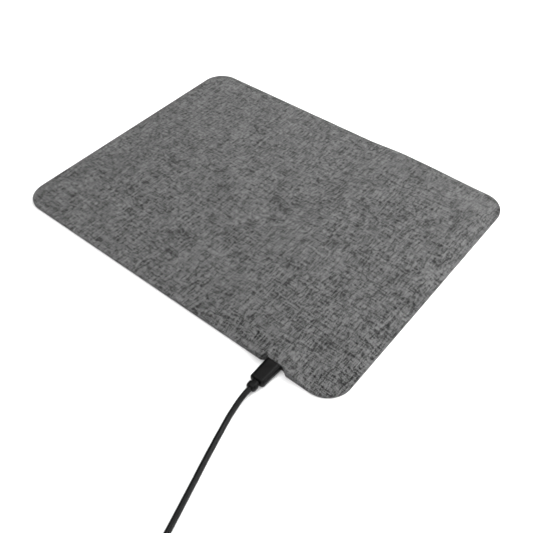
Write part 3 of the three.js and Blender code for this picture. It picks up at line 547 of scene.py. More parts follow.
# What makes each finish, and what that is given after the name. A word stands for a colour in the settings.
RECIPES = {
    "woven_melange": (woven_melange,),
    "grip_rubber": (grip_rubber,),
    "copper_winding": (copper_winding,),
    "solder_mask": (solder_mask,),
    "hook_and_loop": (hook_and_loop,),
    "bezel_plastic": (grained_plastic, (0.002, 0.002, 0.002), 0.44, 0.15, 5200.0, 0.012 * MM),
    "plug_rubber": (grained_plastic, "plug_color", 0.36, 0.11, 4200.0, 0.018 * MM),
    "cable_jacket": (grained_plastic, "cable_color", 0.24, 0.15, 2600.0, 0.02 * MM),
    "black_insulator": (grained_plastic, (0.014, 0.014, 0.016), 0.5, 0.4, 7000.0, 0.008 * MM),
    "bright_steel": (plated_metal, (0.50, 0.50, 0.49), 0.28, 9000.0),
    "gold_plate": (plated_metal, (0.83, 0.60, 0.25), 0.24, 12000.0),
    "epoxy_chip": (sandy, (0.022, 0.022, 0.024), (0.014, 0.014, 0.015), 0.55, 5200.0, 0.01 * MM),
    "ceramic_body": (sandy, (0.42, 0.28, 0.17), (0.33, 0.21, 0.12), 0.4, 3800.0, 0.008 * MM),
    "ferrite_body": (sandy, (0.036, 0.036, 0.040), (0.022, 0.022, 0.025), 0.7, 3000.0, 0.03 * MM),
    "foam_pad": (sandy, (0.075, 0.075, 0.08), (0.045, 0.045, 0.05), 0.9, 1800.0, 0.08 * MM),
    "pressed_core": (sandy, (0.042, 0.042, 0.045), (0.028, 0.028, 0.03), 0.85, 1500.0, 0.06 * MM),
    "amber_film": (sandy, (0.55, 0.36, 0.09), (0.47, 0.29, 0.07), 0.25, 900.0, 0.004 * MM),
}
FINISHES = {}

# The frame's solids that keep their shape: how their names start, and their finish.
INNER_FINISHES = {
    "core_board": "pressed_core",
    "receptacle_tongue": "black_insulator",
    "plug_insulator": "black_insulator",
    "circuit_board": "solder_mask",
    "controller_chip": "epoxy_chip",
    "power_chip": "epoxy_chip",
    "thermistor": "epoxy_chip",
    "supply_inductor": "ferrite_body",
    "resonant_capacitor": "ceramic_body",
    "filter_capacitor": "ceramic_body",
    "coil_pad": "foam_pad",
    "ferrite_sheet": "ferrite_body",
    "charging_coil": "copper_winding",
    "coil_film": "amber_film",
    "coil_lead": "copper_winding",
    "receptacle_contact": "gold_plate",
    "plug_contact": "gold_plate",
    "usb_a_contact": "gold_plate",
}


def finish(name):
    """The material of that name, made on first use."""
    if name not in FINISHES:
        recipe, *given = RECIPES[name]
        given = [tuple(getattr(settings(), value)) if isinstance(value, str) else value for value in given]
        FINISHES[name] = recipe(name, *given)
    return FINISHES[name]


# ---- the pieces ---------------------------------------------------------------------------------

def with_skirt(x, y, height, rows_out, rows_down, bottom, roll, drop=None):
    """A plan grid raised to a height, and a skirt from its rim: a quarter-round of the roll's radius, out
    roll sin(t) and down drop (1 - cos(t)), then straight down to the bottom. Gives points, faces, flat cloth
    coordinates, where the skirt is laid out flat from the rim, and the skirt's point numbers ring by ring."""
    rows, columns = x.shape
    top = np.stack([x, y, height], -1).reshape(-1, 3)
    rim = rim_of(rows, columns)
    edge = top[rim]
    out = rim_outward(edge)
    drop = np.full(len(rim), roll) if drop is None else drop
    turn = np.linspace(0, np.pi / 2, rows_out + 1)[1:, None]
    reach = np.concatenate([roll * np.sin(turn), np.full((rows_down, 1), roll)])
    fall = np.concatenate([
        drop * (1 - np.cos(turn)),
        drop + (edge[:, 2] - drop - bottom) * np.linspace(0, 1, rows_down + 1)[1:, None],
    ])
    plan = edge[None, :, :2] + out[None] * reach[..., None]
    skirt = np.concatenate([plan, (edge[:, 2] - fall)[..., None]], -1)
    steps = np.linalg.norm(np.diff(np.concatenate([edge[None], skirt]), axis=0), axis=-1)
    laid = edge[None, :, :2] + out[None] * np.cumsum(steps, axis=0)[..., None]
    ring = np.concatenate([rim[None], len(top) + np.arange(skirt.shape[0] * len(rim)).reshape(-1, len(rim))])
    ring = np.concatenate([ring, ring[:, :1]], axis=1)
    walls = np.stack([ring[:-1, :-1], ring[1:, :-1], ring[1:, 1:], ring[:-1, 1:]], -1).reshape(-1, 4)
    faces = grid_faces(rows, columns).tolist() + walls.tolist()
    points = np.concatenate([top, skirt.reshape(-1, 3)])
    cloth = np.concatenate([top[:, :2], laid.reshape(-1, 2)])
    return points, faces, cloth, ring


def bezel_arch(x):
    """Upper outline of the socket's opening in the fabric: a flat top with round corners."""
    half, radius = BEZEL_HALF + PORT_GAP, 1.8 * MM
    beyond = np.clip(np.abs(x - PORT.x) - half + radius, 0, radius)
    return BEZEL_HIGH.z + PORT_GAP - radius + np.sqrt(np.maximum(radius**2 - beyond**2, 0))


def make_fabric():
    """The woven top: the relief over the whole plan, rolled over the edge and taken down to the desk, with
    an opening for the socket. Slow ripples keep it from being dead flat: two sine waves across each other,
    each bent by the other direction."""
    roll, ripple_height = settings().edge_roll, 0.035 * MM
    x, y = mat_plan(roll, 1.9 * MM)
    ripple = np.sin(x * 190 + np.sin(y * 110) * 1.3) * np.sin(y * 150 + np.sin(x * 83) * 1.7)
    height = top_height(x, y) + ripple_height * ripple
    rim = rim_of(*x.shape)
    rim_x, rim_y, rim_z = (value.ravel()[rim] for value in (x, y, height))
    at_port = (np.abs(rim_x - PORT.x) < BEZEL_HALF + PORT_GAP) & (rim_y < CROWN_Y[0])
    bottom = np.where(at_port, bezel_arch(rim_x), FABRIC_LIFT)
    drop = np.minimum(roll, 0.8 * (rim_z - bottom))
    points, faces, cloth, _ = with_skirt(x, y, height, 4, 3, bottom, roll, drop)
    piece = make_piece("woven_top", points, faces, "woven_melange", "mat", "fabric", ["top_fabric"], cloth,
                       crease=60, closed=False)
    thicken(piece, FABRIC_WALL)
    return piece


def make_base():
    """The rubber underside: the plan a little smaller than the fabric, flat above and below, with its lower
    edge rolled up to the side."""
    inset, roll = 0.45 * MM, 0.25 * MM
    x, y = mat_plan(inset + roll, 4.5 * MM)
    upside_down, faces, _, ring = with_skirt(x, y, np.zeros(x.shape), 3, 2, -BASE_HIGH.z, roll)
    points = upside_down * [1, 1, -1]
    lid = np.stack([x, y, np.full(x.shape, BASE_HIGH.z)], -1).reshape(-1, 3)
    rows, columns = x.shape
    rim = rim_of(rows, columns) + len(points)
    last = ring[-1, :-1]
    seam = np.stack([last, rim, np.roll(rim, -1), np.roll(last, -1)], 1)
    faces = [face[::-1] for face in faces + seam.tolist()]
    faces += (grid_faces(rows, columns) + len(points)).tolist()
    return make_piece("rubber_base", np.concatenate([points, lid]), faces, "grip_rubber", "mat", "base",
                      ["base_sheet"])


def micro_section(width, height, inset=0.0):
    """Outline of a micro-USB shell: flat with round upper corners and cut lower ones."""
    return section(width, height, (0, 0.35 * MM), (0.8 * MM, 0.3 * MM), inset)


def make_socket():
    """The housing round the socket: an outline with round corners, its front edge rounded over, then a
    short funnel down to the shell's opening. And the steel shell, with lips that open outwards."""
    shell_size, shell_middle = size_of("receptacle_shell")
    shell_low, shell_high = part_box("receptacle_shell")
    size = BEZEL_HIGH - BEZEL_LOW
    behind = PORT_FACE + 1.3 * MM
    hood_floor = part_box("circuit_board")[1].z + 0.05 * MM

    def outer(inset, y):
        return along_y(section(size.x, size.z, (0, 1.7 * MM), (0, 1.7 * MM), inset), y, PORT.x, PORT.z)

    def opening(inset, y):
        return along_y(micro_section(shell_size.x, shell_size.z, inset), y, PORT.x, shell_middle.z)

    def taken_back(ring):
        ring[:, 1] = np.where(ring[:, 2] > hood_floor, BEZEL_HIGH.y, behind)
        return ring

    inset, forward = rounded_end(0.28 * MM)
    rings = [taken_back(outer(0, behind)), outer(0, PORT_FACE + 0.9 * MM)]
    rings += [outer(a, PORT_FACE + b) for a, b in zip(inset[::-1], forward[::-1])]
    rings += [opening(-0.5 * MM, PORT_FACE), opening(-0.42 * MM, PORT_FACE + 0.04 * MM),
              opening(-0.12 * MM, PORT_FACE + 0.32 * MM), taken_back(opening(-0.12 * MM, behind))]
    make_piece("socket_bezel", *closed_ring(rings), "bezel_plastic", "mat", "bezel", ["port_housing"])

    mouth, root = shell_low.y, shell_high.y
    lips = [(-0.10, 0.0), (-0.06, 0.18), (-0.02, 0.42), (0.0, 0.8), (0.0, 5.4)]
    rings = [opening(a * MM, mouth + b * MM) for a, b in lips[::-1]]
    rings += [opening(a * MM + USB_WALL, mouth + b * MM) for a, b in lips]
    rings[0][:, 1] = rings[-1][:, 1] = root
    make_piece("socket_shell", *closed_ring(rings), "bright_steel", "mat", "steel", ["receptacle_shell"])


def make_small_plug():
    """The moulded grip, an outline with round corners carried back and narrowed, with its front edge
    slightly rounded and its back edge well rounded. Behind it a waist and a collar round the cable. In
    front the folded steel shell with two latch bumps."""
    size, middle = size_of("plug_overmould")
    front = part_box("plug_overmould")[1].y
    round_radius, taper = settings().plug_rounding, 0.07

    def grip(inset, back):
        outline = section(size.x, size.z, (0, 2.4 * MM), (0, 2.4 * MM), inset, steps=12)
        return along_y(outline * (1 - taper * back / size.y), front - back, middle.x, middle.z)

    near, far = rounded_end(0.35 * MM), rounded_end(round_radius, 8)
    rings = [grip(a, b) for a, b in zip(*near)]
    rings += [grip(0, back) for back in np.linspace(0.6 * MM, size.y - round_radius - 0.3 * MM, 9)]
    rings += [grip(a, size.y - b) for a, b in zip(far[0][::-1], far[1][::-1])]
    body = make_piece("plug_grip", *capped(rings), "plug_rubber", "lead", "overmould", ["plug_overmould"])

    neck_size, neck_middle = size_of("plug_strain_relief")
    neck_back, neck_front = (corner.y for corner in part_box("plug_strain_relief"))
    # how far back, in millimetres, and how wide, as a share
    shape = [(-0.9, 0.70), (0.0, 0.80), (0.5, 0.79), (1.15, 0.79), (1.4, 0.86), (1.75, 0.965), (2.1, 1.0),
             (2.6, 1.0), (3.4, 0.995), (4.2, 0.97), (4.75, 0.91), (5.05, 0.80), (5.2, 0.66)]

    def collar(back, scale):
        outline = section(neck_size.x, neck_size.z, (0, 1.9 * MM), (0, 1.9 * MM), steps=10)
        return along_y(outline * scale, neck_front - back, neck_middle.x, neck_middle.z)

    rings = [collar(back * MM, scale) for back, scale in shape]
    rings[-1][:, 1] = neck_back
    neck = make_piece("plug_neck", *capped(rings), "plug_rubber", "lead", "overmould", ["plug_strain_relief"])

    shell_size, shell_middle = size_of("plug_shell")
    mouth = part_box("plug_shell")[1].y
    latch_place = 1.9 * MM                # from the middle, and from the mouth

    def tube(inset, back):
        """Each latch bump is a bell, exp(-(distance / width)^2)."""
        ring = along_y(micro_section(shell_size.x, shell_size.z, inset), mouth - back, shell_middle.x,
                       shell_middle.z)
        for side in (-1, 1):
            away = ((ring[:, 0] - shell_middle.x - side * latch_place) / (0.45 * MM)) ** 2
            away += ((back - latch_place) / (0.5 * MM)) ** 2
            under = ring[:, 2] < shell_middle.z
            ring[:, 2] -= np.where(under & (inset == 0), 0.08 * MM * np.exp(-away), 0)
        return ring

    stations = np.linspace(0.15 * MM, shell_size.y, 24)
    rings = [tube(0, back) for back in stations[::-1]] + [tube(0.05 * MM, 0.03 * MM), tube(0.12 * MM, 0)]
    rings += [tube(0.2 * MM, 0.03 * MM)] + [tube(USB_WALL, back) for back in stations]
    make_piece("plug_tube", *closed_ring(rings), "bright_steel", "lead", "steel", ["plug_shell"])
    return body, neck


# ---- the lead -------------------------------------------------------------------------------------

# From the end of the plug to the wound part, as the frame's cable runs: across from the plug's axis, away
# from the end of the plug, and the share of the drop from the plug's axis to the desk that is still left.
LEAD_ROUTE = np.array([
    (0, 0.3, 1), (0.05, 4.1, 0.93), (0.4, 8.8, 0.64), (1.1, 13.5, 0.33), (2.0, 18.5, 0.1), (3.1, 23.0, 0),
    (4.3, 27.4, 0), (5.5, 31.9, 0), (6.8, 36.5, 0), (8.1, 41.2, 0), (9.7, 46.7, 0), (11.8, 53.7, 0),
    (14.3, 62.2, 0), (17.0, 71.4, 0), (19.7, 80.7, 0), (23.0, 92.7, 0), (26.3, 104.7, 0), (29.1, 114.7, 0),
])
REST_HEIGHT = 1.65 * MM
TURN_PITCH = 3.3 * MM
ROW_RISE = TURN_PITCH * math.sqrt(3) / 2
LOWER_RADII = (22.55 * MM, 19.25 * MM, 15.95 * MM, 12.65 * MM)
UPPER_RADII = (14.3 * MM, 17.6 * MM, 20.9 * MM)
ENTRY_ANGLE = math.radians(15.5)      # where the lead meets the outer turn
JOG_ANGLE = math.radians(82)          # where each turn steps to the next
JOG_REACH = math.radians(26)
FULL_TURN = 2 * math.pi


def wound_turns(middle):
    """The wound part, clockwise from its outer turn: four turns side by side on the desk, stepping inwards,
    then three in the grooves above them, stepping outwards. Each step is eased over a short arc. The last
    turn rolls over the outer one, on a circle round it, and comes down beside it, heading to -X. Over the
    strap all turns lie a strap's thickness higher."""
    total = ENTRY_ANGLE + math.pi / 2 + 7 * FULL_TURN
    turned = np.linspace(0, total, 26 * 7 + 9)[1:]
    angle = ENTRY_ANGLE - turned
    first_jog = (ENTRY_ANGLE - JOG_ANGLE) % FULL_TURN
    radius, row = np.full(turned.shape, LOWER_RADII[0]), np.zeros(turned.shape)
    hump = np.zeros(turned.shape)
    levels = list(LOWER_RADII) + list(UPPER_RADII)
    for number in range(6):
        passed = (turned - first_jog - number * FULL_TURN + JOG_REACH) / (2 * JOG_REACH)
        radius += ease(passed) * (levels[number + 1] - levels[number])
        if number == 3:
            row += ease(passed + 0.15)
        if number > 3:
            hump += np.sin(np.pi * np.clip(passed, 0, 1)) ** 2
    height = REST_HEIGHT + ROW_RISE * row + 0.45 * MM * hump
    away = 3.4 * MM                       # from the outer turn to the one that rolls over it
    start = math.asin((UPPER_RADII[2] - LOWER_RADII[0]) / away)
    last = turned - total + math.radians(178)
    over = start + (np.pi / 2 - start) * ease(last / math.radians(166))
    rolling = last > 0
    radius = np.where(rolling, LOWER_RADII[0] + away * np.sin(over), radius)
    height = np.where(rolling, REST_HEIGHT + away * np.cos(over), height)
    settle_in = ease((last + math.radians(40)) / math.radians(40)) * (last <= 0)
    height += settle_in * (REST_HEIGHT + away * math.cos(start) - REST_HEIGHT - ROW_RISE) * (row > 0.5)
    from_strap = np.abs(angle % FULL_TURN - math.pi)
    lift = 0.68 * MM * ease((math.radians(75) - from_strap) / math.radians(50))
    height += lift * np.where(rolling, np.clip(np.cos(over), 0, 1), 1)
    return np.stack([middle.x + radius * np.cos(angle), middle.y + radius * np.sin(angle), height], 1)


def lead_line():
    """The whole route of the lead, from inside the small plug's collar to inside the large plug's relief."""
    neck_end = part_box("plug_strain_relief")[0].y
    middle = size_of("cord_coil")[1]
    across, away, left = LEAD_ROUTE.T
    lead = np.stack([PLUG_AXIS_X + across * MM, neck_end - away * MM,
                     REST_HEIGHT + left * (PLUG_AXIS_Z - REST_HEIGHT)], 1)
    inside = [[PLUG_AXIS_X, neck_end + 1.6 * MM, PLUG_AXIS_Z]]
    outer = LOWER_RADII[0]
    entry = np.array([middle.x + outer * math.cos(ENTRY_ANGLE), middle.y + outer * math.sin(ENTRY_ANGLE),
                      REST_HEIGHT])
    heading = np.array([math.sin(ENTRY_ANGLE), -math.cos(ENTRY_ANGLE), 0])
    joining = np.array([entry - heading * gap * MM for gap in (42, 33, 24, 15, 7)] + [entry])
    lead = lead[lead[:, 1] > joining[0, 1] + 4 * MM]
    wound = wound_turns(middle)
    relief_low, relief_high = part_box("usb_a_strain_relief")
    relief_z = (relief_low.z + relief_high.z) / 2
    run = wound[-1, 0] - relief_high.x
    share = np.array([0.2, 0.4, 0.6, 0.8, 1.0, 1.12])
    climb = ease(share)
    tail = np.stack([wound[-1, 0] - share * run, np.full(len(share), wound[-1, 1]),
                     REST_HEIGHT + climb * (relief_z - REST_HEIGHT)], 1)
    return np.concatenate([inside, lead, joining, wound, tail])


def make_cord(with_pieces):
    """One spline through the route. Each handle is a third of its gap long and points from the point
    before to the point after."""
    line = lead_line()
    diameter = settings().cord_diameter
    curve = bpy.data.curves.new("charging_lead", "CURVE")
    curve.dimensions, curve.resolution_u = "3D", 6
    curve.bevel_depth, curve.bevel_resolution, curve.use_fill_caps = diameter / 2, 5, True
    spline = curve.splines.new("BEZIER")
    spline.bezier_points.add(len(line) - 1)
    gaps = np.linalg.norm(np.diff(line, axis=0), axis=1)[:, None]
    before, after = np.concatenate([gaps[:1], gaps]), np.concatenate([gaps, gaps[-1:]])
    ends = np.concatenate([2 * line[:1] - line[1:2], line, 2 * line[-1:] - line[-2:-1]])
    direction = ends[2:] - ends[:-2]
    direction /= np.linalg.norm(direction, axis=1)[:, None]
    spline.bezier_points.foreach_set("co", line.ravel())
    spline.bezier_points.foreach_set("handle_left", (line - direction * before / 3).ravel())
    spline.bezier_points.foreach_set("handle_right", (line + direction * after / 3).ravel())
    curve.materials.append(finish("cable_jacket"))
    cord = bpy.data.objects.new("charging_lead", curve)
    bpy.context.scene.collection.objects.link(cord)
    settle(cord, "lead", ["cord_lead", "cord_coil", "cord_tail"])
    return cord


def make_tie():
    """The strap: a ribbon round the turns. Its middle line is a rounded box in X and Z, walked once round
    and a part further, where it lies on its own start; the free end is half round."""
    size, middle = size_of("cord_tie")
    thick, stations, lines = 0.5 * MM, 150, 9
    box = section(size.x - thick, size.z - thick, (0, 1.7 * MM), (0, 1.4 * MM), steps=10)
    box = np.concatenate([box, box[:1]])
    walked = np.concatenate([[0], np.cumsum(np.linalg.norm(np.diff(box, axis=0), axis=1))])
    around, extra = walked[-1], 7.5 * MM
    begin = 0.02 * around
    s = np.linspace(begin, begin + around + extra, stations)
    at = np.stack([np.interp(s % around, walked, box[:, i]) for i in range(2)], 1)
    along = np.gradient(at, axis=0)
    along /= np.linalg.norm(along, axis=1)[:, None]
    climb = (thick + 0.04 * MM) * ease((s - begin - around + 3.5 * MM) / (3.5 * MM))
    at = at + np.stack([along[:, 1], -along[:, 0]], 1) * climb[:, None]
    end = s[-1] - s
    half = size.y / 2 * np.where(end < 3 * MM, np.sqrt(np.clip(1 - (1 - end / (3 * MM)) ** 2, 0.02, 1)), 1)
    width = np.linspace(-1, 1, lines)
    points = np.stack([
        np.broadcast_to(middle.x + at[:, :1], (stations, lines)),
        middle.y + half[:, None] * width,
        np.broadcast_to(middle.z + at[:, 1:], (stations, lines)),
    ], -1)
    piece = make_piece("lead_strap", points.reshape(-1, 3), grid_faces(stations, lines).tolist(),
                       "hook_and_loop", "lead", "strap", ["cord_tie"], closed=False)
    return thicken(piece, thick, 0.0)


def make_large_plug():
    """The far plug, carried along X: a moulded grip with grooves down its sides, a ribbed cone round the
    cable, a folded steel shell with four windows, and the block inside it."""
    size, middle = size_of("usb_a_overmould")
    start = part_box("usb_a_overmould")[0].x

    def grip(inset, front):
        """The outline at a distance from the shell's end, which faces -X. The grooves are sin^2 waves."""
        back = front / size.x
        outline = section(size.y, size.z, (0, 2.6 * MM), (0, 2.6 * MM), inset, steps=12)
        outline = outline * [1 - 0.10 * ease((back - 0.55) / 0.45), 1 - 0.06 * ease((back - 0.55) / 0.45)]
        groove = np.sin(np.clip((front - 13 * MM) / (8.8 * MM), 0, 1) * 4 * np.pi) ** 2
        side = ease((np.abs(outline[:, 0]) - 5.2 * MM) / (1.6 * MM))
        outline = outline - np.stack([np.sign(outline[:, 0]) * 0.4 * MM * groove * side, 0 * side], 1)
        return along_x(outline, start + front, middle.y, middle.z)

    near, far = rounded_end(0.7 * MM, 6), rounded_end(2.2 * MM, 8)
    rings = [grip(a, b) for a, b in zip(*near)]
    rings += [grip(0, front) for front in np.linspace(1.2 * MM, size.x - 2.5 * MM, 64)]
    rings += [grip(a, size.x - b) for a, b in zip(far[0][::-1], far[1][::-1])]
    body = make_piece("usb_a_grip", *capped(rings), "plug_rubber", "lead", "overmould", ["usb_a_overmould"])

    cone_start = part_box("usb_a_strain_relief")[0].x
    cone_size, cone_middle = size_of("usb_a_strain_relief")
    stations, sides = 70, 40
    share = np.linspace(-0.12, 1, stations)
    radius = cone_size.y / 2 * (1 - 0.27 * np.clip(share, 0, 1))
    rib = np.sin(np.clip((share - 0.08) / 0.8, 0, 1) * 5 * np.pi) ** 2
    radius = radius - 0.34 * MM * rib ** 2 - 0.5 * MM * ease((share - 0.94) / 0.06)
    turn = np.linspace(0, FULL_TURN, sides, endpoint=False)
    rings = np.stack([
        np.broadcast_to((cone_start + share * cone_size.x)[:, None], (stations, sides)),
        cone_middle.y + radius[:, None] * np.cos(turn),
        cone_middle.z + radius[:, None] * np.sin(turn),
    ], -1)
    cone = make_piece("usb_a_relief", *capped(rings), "plug_rubber", "lead", "overmould",
                      ["usb_a_strain_relief"])

    shell_size, shell_middle = size_of("usb_a_shell")
    shell_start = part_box("usb_a_shell")[0].x
    corner = (0, 0.6 * MM)
    window_x, window_y = 6.1 * MM, 2.75 * MM         # the windows' middles, from the end and from the axis
    edges = np.array([-4.0, -2.75, -1.5, 0.0, 1.5, 2.75, 4.0]) * MM
    wide = 0.5 + edges / (shell_size.y - 2 * corner[1])
    stations = np.array([0, 0.12, 0.4, 2, 4, 5.1, 6.1, 7.1, 9, 12, shell_size.x / MM]) * MM
    draw = np.array([0.22, 0.08, 0, 0, 0, 0, 0, 0, 0, 0, 0]) * MM
    rings = np.array([along_x(section(shell_size.y, shell_size.z, corner, corner, inset, 7, wide),
                              shell_start + station, shell_middle.y, shell_middle.z)
                      for inset, station in zip(draw, stations)])
    points = rings.reshape(-1, 3)
    faces = grid_faces(*rings.shape[:2], wrap_columns=True)
    x, y, z = (points[faces].mean(1) - [shell_start, shell_middle.y, shell_middle.z]).T
    window = (np.abs(np.abs(y) - window_y) < 1.25 * MM) & (np.abs(x - window_x) < 1.0 * MM)
    window &= np.abs(z) > shell_size.z / 2 - 0.1 * MM
    kept = [face for face, cut in zip(outward(points, faces.tolist()), window) if not cut]
    tube = make_piece("usb_a_tube", points, kept, "bright_steel", "lead", "steel", ["usb_a_shell"],
                      closed=False)
    thicken(tube, 0.3 * MM)

    block_low, block_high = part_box("usb_a_insulator")
    block_size, block_middle = size_of("usb_a_insulator")
    inset, forward = rounded_end(0.25 * MM, 4)

    def slab(drawn, x):
        return along_x(section(block_size.y, block_size.z, (0, 0.2 * MM), (0, 0.2 * MM), drawn), x,
                       block_middle.y, block_middle.z)

    rings = [slab(a, block_low.x + b) for a, b in zip(inset, forward)] + [slab(0, block_high.x)]
    block = make_piece("usb_a_block", *capped(rings), "black_insulator", "lead", "insulator",
                       ["usb_a_insulator"])
    return body, cone, tube, block


def make_lead():
    """Both plugs and the strap, then the cable."""
    make_cord([*make_small_plug(), *make_large_plug(), make_tie()])


def dress_inner_parts():
    """Finishes for the frame's own solids that keep their shape: contacts, board, coil and core."""
    for name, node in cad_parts.items():
        for start, look in INNER_FINISHES.items():
            if name.startswith(start):
                node.data.materials.clear()
                node.data.materials.append(finish(look))


# ---- the stage ------------------------------------------------------------------------------------

def soft_box(name, place, side, power, aim=(0, 0, 0)):
    """A square area light that faces its aim."""
    light = bpy.data.lights.new(name, "AREA")
    light.shape, light.size, light.energy = "SQUARE", side, power
    box = bpy.data.objects.new(name, light)
    box.location = place
    box.rotation_euler = (Vector(place) - Vector(aim)).to_track_quat("Z", "Y").to_euler()
    bpy.context.scene.collection.objects.link(box)
    return box


def make_stage():
    """A pale floor, a pale surround, four soft lights, and a camera that looks down across the mat."""
    scene, stage = bpy.context.scene, bpy.context.scene.charging_stage
    scene.view_settings.view_transform = "Standard"
    floor = bpy.data.meshes.new("studio_floor")
    reach, level = 6.0, -0.05 * MM
    corners = [(-reach, -reach), (reach, -reach), (reach, reach), (-reach, reach)]
    floor.from_pydata([(x, y, level) for x, y in corners], [], [(0, 1, 2, 3)])
    paper = Finish("studio_paper", tuple(stage.floor_color), 0.9, specular=0.1)
    grain = paper.noise(paper.place(), 900.0, 3.0)
    paper.set("Normal", paper.relief(grain, 0.02 * MM, 0.3))
    floor.materials.append(paper.material)
    floor_object = bpy.data.objects.new("studio_floor", floor)
    scene.collection.objects.link(floor_object)

    world = bpy.data.worlds.new("studio_surround")
    world.use_nodes = True
    surround = world.node_tree.nodes["Background"]
    surround.inputs["Color"].default_value = (1.0, 1.0, 1.0, 1.0)
    surround.inputs["Strength"].default_value = stage.surround
    scene.world = world
    soft_box("back_light", (0.2, 0.5, 0.55), 0.6, stage.back_power)
    soft_box("overhead_light", (-0.05, -0.1, 1.5), 1.4, stage.overhead_power)
    soft_box("fill_light", (1.2, -1.45, 0.5), 1.4, stage.fill_power)
    soft_box("side_light", (1.02, 0.47, 0.43), 0.3, stage.side_power, aim=(0.09, -0.15, 0))

    camera = bpy.data.cameras.new("camera")
    camera.lens, camera.sensor_width = stage.lens, 36.0
    camera.clip_start, camera.clip_end = 0.01, 20.0
    eye = bpy.data.objects.new("camera", camera)
    scene.collection.objects.link(eye)
    level_from = math.cos(stage.elevation)
    toward = Vector((math.sin(stage.azimuth) * level_from, -math.cos(stage.azimuth) * level_from,
                     math.sin(stage.elevation)))
    turn = toward.to_track_quat("Z", "Y").to_matrix().to_4x4() @ Matrix.Rotation(stage.roll, 4, "Z")
    eye.matrix_world = Matrix.Translation(Vector(stage.aim) + toward * stage.distance) @ turn
    scene.camera = eye


# ---- settings -------------------------------------------------------------------------------------

def number(name, description, value, unit="LENGTH", least=0.0, **more):
    return FloatProperty(name=name, description=description, default=value, unit=unit, min=least, **more)


def power(name, description, value):
    return FloatProperty(name=name, description=description, default=value, min=0, subtype="POWER")


def angle(name, description, degrees):
    return FloatProperty(name=name, description=description, default=math.radians(degrees), subtype="ANGLE")


def grey(name, description, value):
    return FloatVectorProperty(name=name, description=description, default=(value,) * 3, size=3,
                               subtype="COLOR", min=0, max=1)


class ChargingStageSettings(bpy.types.PropertyGroup):
    """Where the camera stands, and how bright the studio is."""

    azimuth: angle("Azimuth", "Turn of the camera from the front towards the right", 40.088)
    elevation: angle("Elevation", "Height of the camera above the desk, as an angle", 47.528)
    roll: angle("Roll", "Tilt of the camera about its line of sight", -0.8794)
    distance: number("Distance", "From the aimed point to the camera", 0.4282022, least=0.05)
    aim: FloatVectorProperty(name="Aim", description="Point on the desk that the camera looks at", size=3,
                             default=(0.0389, -0.0441, 0.0), subtype="TRANSLATION")
    lens: number("Lens", "Focal length for a 36 mm wide sensor", 46.7326, "CAMERA", 10)
    floor_color: grey("Floor", "Colour of the floor", 0.97)
    surround: FloatProperty(name="Surround", description="Brightness of the room around", default=0.2, min=0)
    back_power: power("Back light", "Power of the light behind the mat", 8.3)
    overhead_power: power("Overhead light", "Power of the light above", 18.0)
    fill_power: power("Fill light", "Power of the light on the camera's side", 25.0)
    side_power: power("Side light", "Power of the low light that glints on the cable", 4.0)


class ChargingMatSettings(bpy.types.PropertyGroup):
    """Sizes and colours of the mat's own pieces."""

    yarn_pitch: number("Yarn pitch", "From one yarn of the fabric to the next", 0.56 * MM, least=0.1 * MM)
    melange: FloatProperty(name="Melange", description="Softness of the change from dark to pale yarn",
                           default=0.11, min=0.01, max=0.5)
    yarn_color: grey("Yarn", "Mean shade of the fabric", 0.06)
    dark_yarn: grey("Dark yarn", "Darkest shade in the fabric", 0.009)
    pale_yarn: grey("Pale yarn", "Palest shade in the fabric", 0.15)
    edge_roll: number("Edge rounding", "Radius where the fabric turns down at the edge", 0.6 * MM,
                      least=0.2 * MM, max=1.1 * MM)
    plug_rounding: number("Plug rounding", "Radius of the plug's rear edge", 1.5 * MM, least=0.3 * MM,
                          max=2.2 * MM)
    plug_color: grey("Plug", "Colour of both moulded plugs", 0.0011)
    cable_color: grey("Cable", "Colour of the cable's jacket", 0.0011)
    cord_diameter: number("Cable diameter", "Outside diameter of the cable", 3.2 * MM, least=1 * MM)
    cord_length: number("Cable length", "Length of the cable between its plugs", 0.98, least=0.1)


# ---- operators --------------------------------------------------------------------------------------

class PieceOperator:
    """What every step shares: it can be undone, and an error in making a piece stops it."""

    bl_options = {"REGISTER", "UNDO"}

    def execute(self, context):
        self.make()
        return {"FINISHED"}


class CHARGING_OT_stage(PieceOperator, bpy.types.Operator):
    """Set up the floor, the lights and the camera"""

    bl_idname, bl_label, make = "charging_mat.stage", "Stage", staticmethod(make_stage)


class CHARGING_OT_lead(PieceOperator, bpy.types.Operator):
    """Make both plugs, the cable between them and the strap round its turns"""

    bl_idname, bl_label, make = "charging_mat.lead", "Lead with its plugs", staticmethod(make_lead)


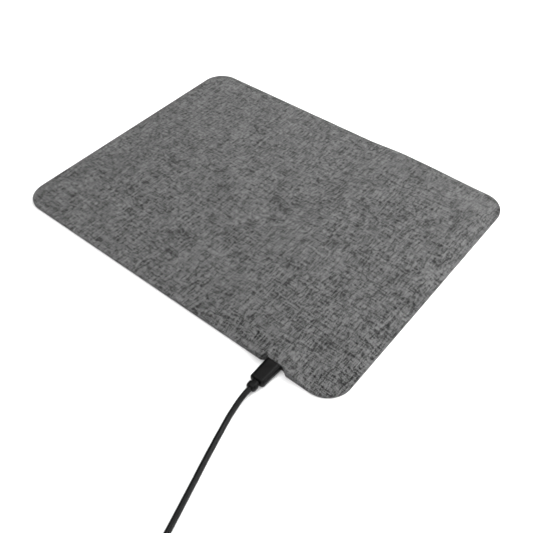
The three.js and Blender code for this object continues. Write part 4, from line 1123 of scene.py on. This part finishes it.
class CHARGING_OT_fabric(PieceOperator, bpy.types.Operator):
    """Make the woven top with its rolled edge and the opening for the socket"""

    bl_idname, bl_label, make = "charging_mat.fabric", "Woven top", staticmethod(make_fabric)


class CHARGING_OT_base(PieceOperator, bpy.types.Operator):
    """Make the rubber underside"""

    bl_idname, bl_label, make = "charging_mat.base", "Rubber base", staticmethod(make_base)


class CHARGING_OT_socket(PieceOperator, bpy.types.Operator):
    """Make the socket's bezel and steel shell"""

    bl_idname, bl_label, make = "charging_mat.socket", "Socket", staticmethod(make_socket)


class CHARGING_OT_inner(PieceOperator, bpy.types.Operator):
    """Give the contacts, the board, the coil and the core their finishes"""

    bl_idname, bl_label, make = "charging_mat.inner", "Inner parts", staticmethod(dress_inner_parts)


OPERATORS = (CHARGING_OT_stage, CHARGING_OT_lead, CHARGING_OT_fabric, CHARGING_OT_base, CHARGING_OT_socket,
             CHARGING_OT_inner)


class CHARGING_PT_panel(bpy.types.Panel):
    """Lists the steps and the settings they use"""

    bl_idname = "CHARGING_PT_panel"
    bl_label = "Charging Mat"
    bl_space_type = "VIEW_3D"
    bl_region_type = "UI"
    bl_category = "Charging Mat"

    def draw(self, context):
        for operator in OPERATORS:
            self.layout.operator(operator.bl_idname)
        for group in (context.scene.charging_mat, context.scene.charging_stage):
            column = self.layout.column()
            for name in group.bl_rna.properties.keys():
                if name not in ("rna_type", "name"):
                    column.prop(group, name)


CLASSES = (ChargingStageSettings, ChargingMatSettings, *OPERATORS, CHARGING_PT_panel)


def register():
    for item in CLASSES:
        bpy.utils.register_class(item)
    bpy.types.Scene.charging_stage = PointerProperty(type=ChargingStageSettings)
    bpy.types.Scene.charging_mat = PointerProperty(type=ChargingMatSettings)


def unregister():
    del bpy.types.Scene.charging_mat
    del bpy.types.Scene.charging_stage
    for item in reversed(CLASSES):
        bpy.utils.unregister_class(item)


def main():
    """Makes everything in order."""
    register()
    bpy.ops.charging_mat.stage()
    bpy.ops.charging_mat.lead()
    bpy.ops.charging_mat.fabric()
    bpy.ops.charging_mat.base()
    bpy.ops.charging_mat.socket()
    bpy.ops.charging_mat.inner()


if __name__ == "__main__":
    main()
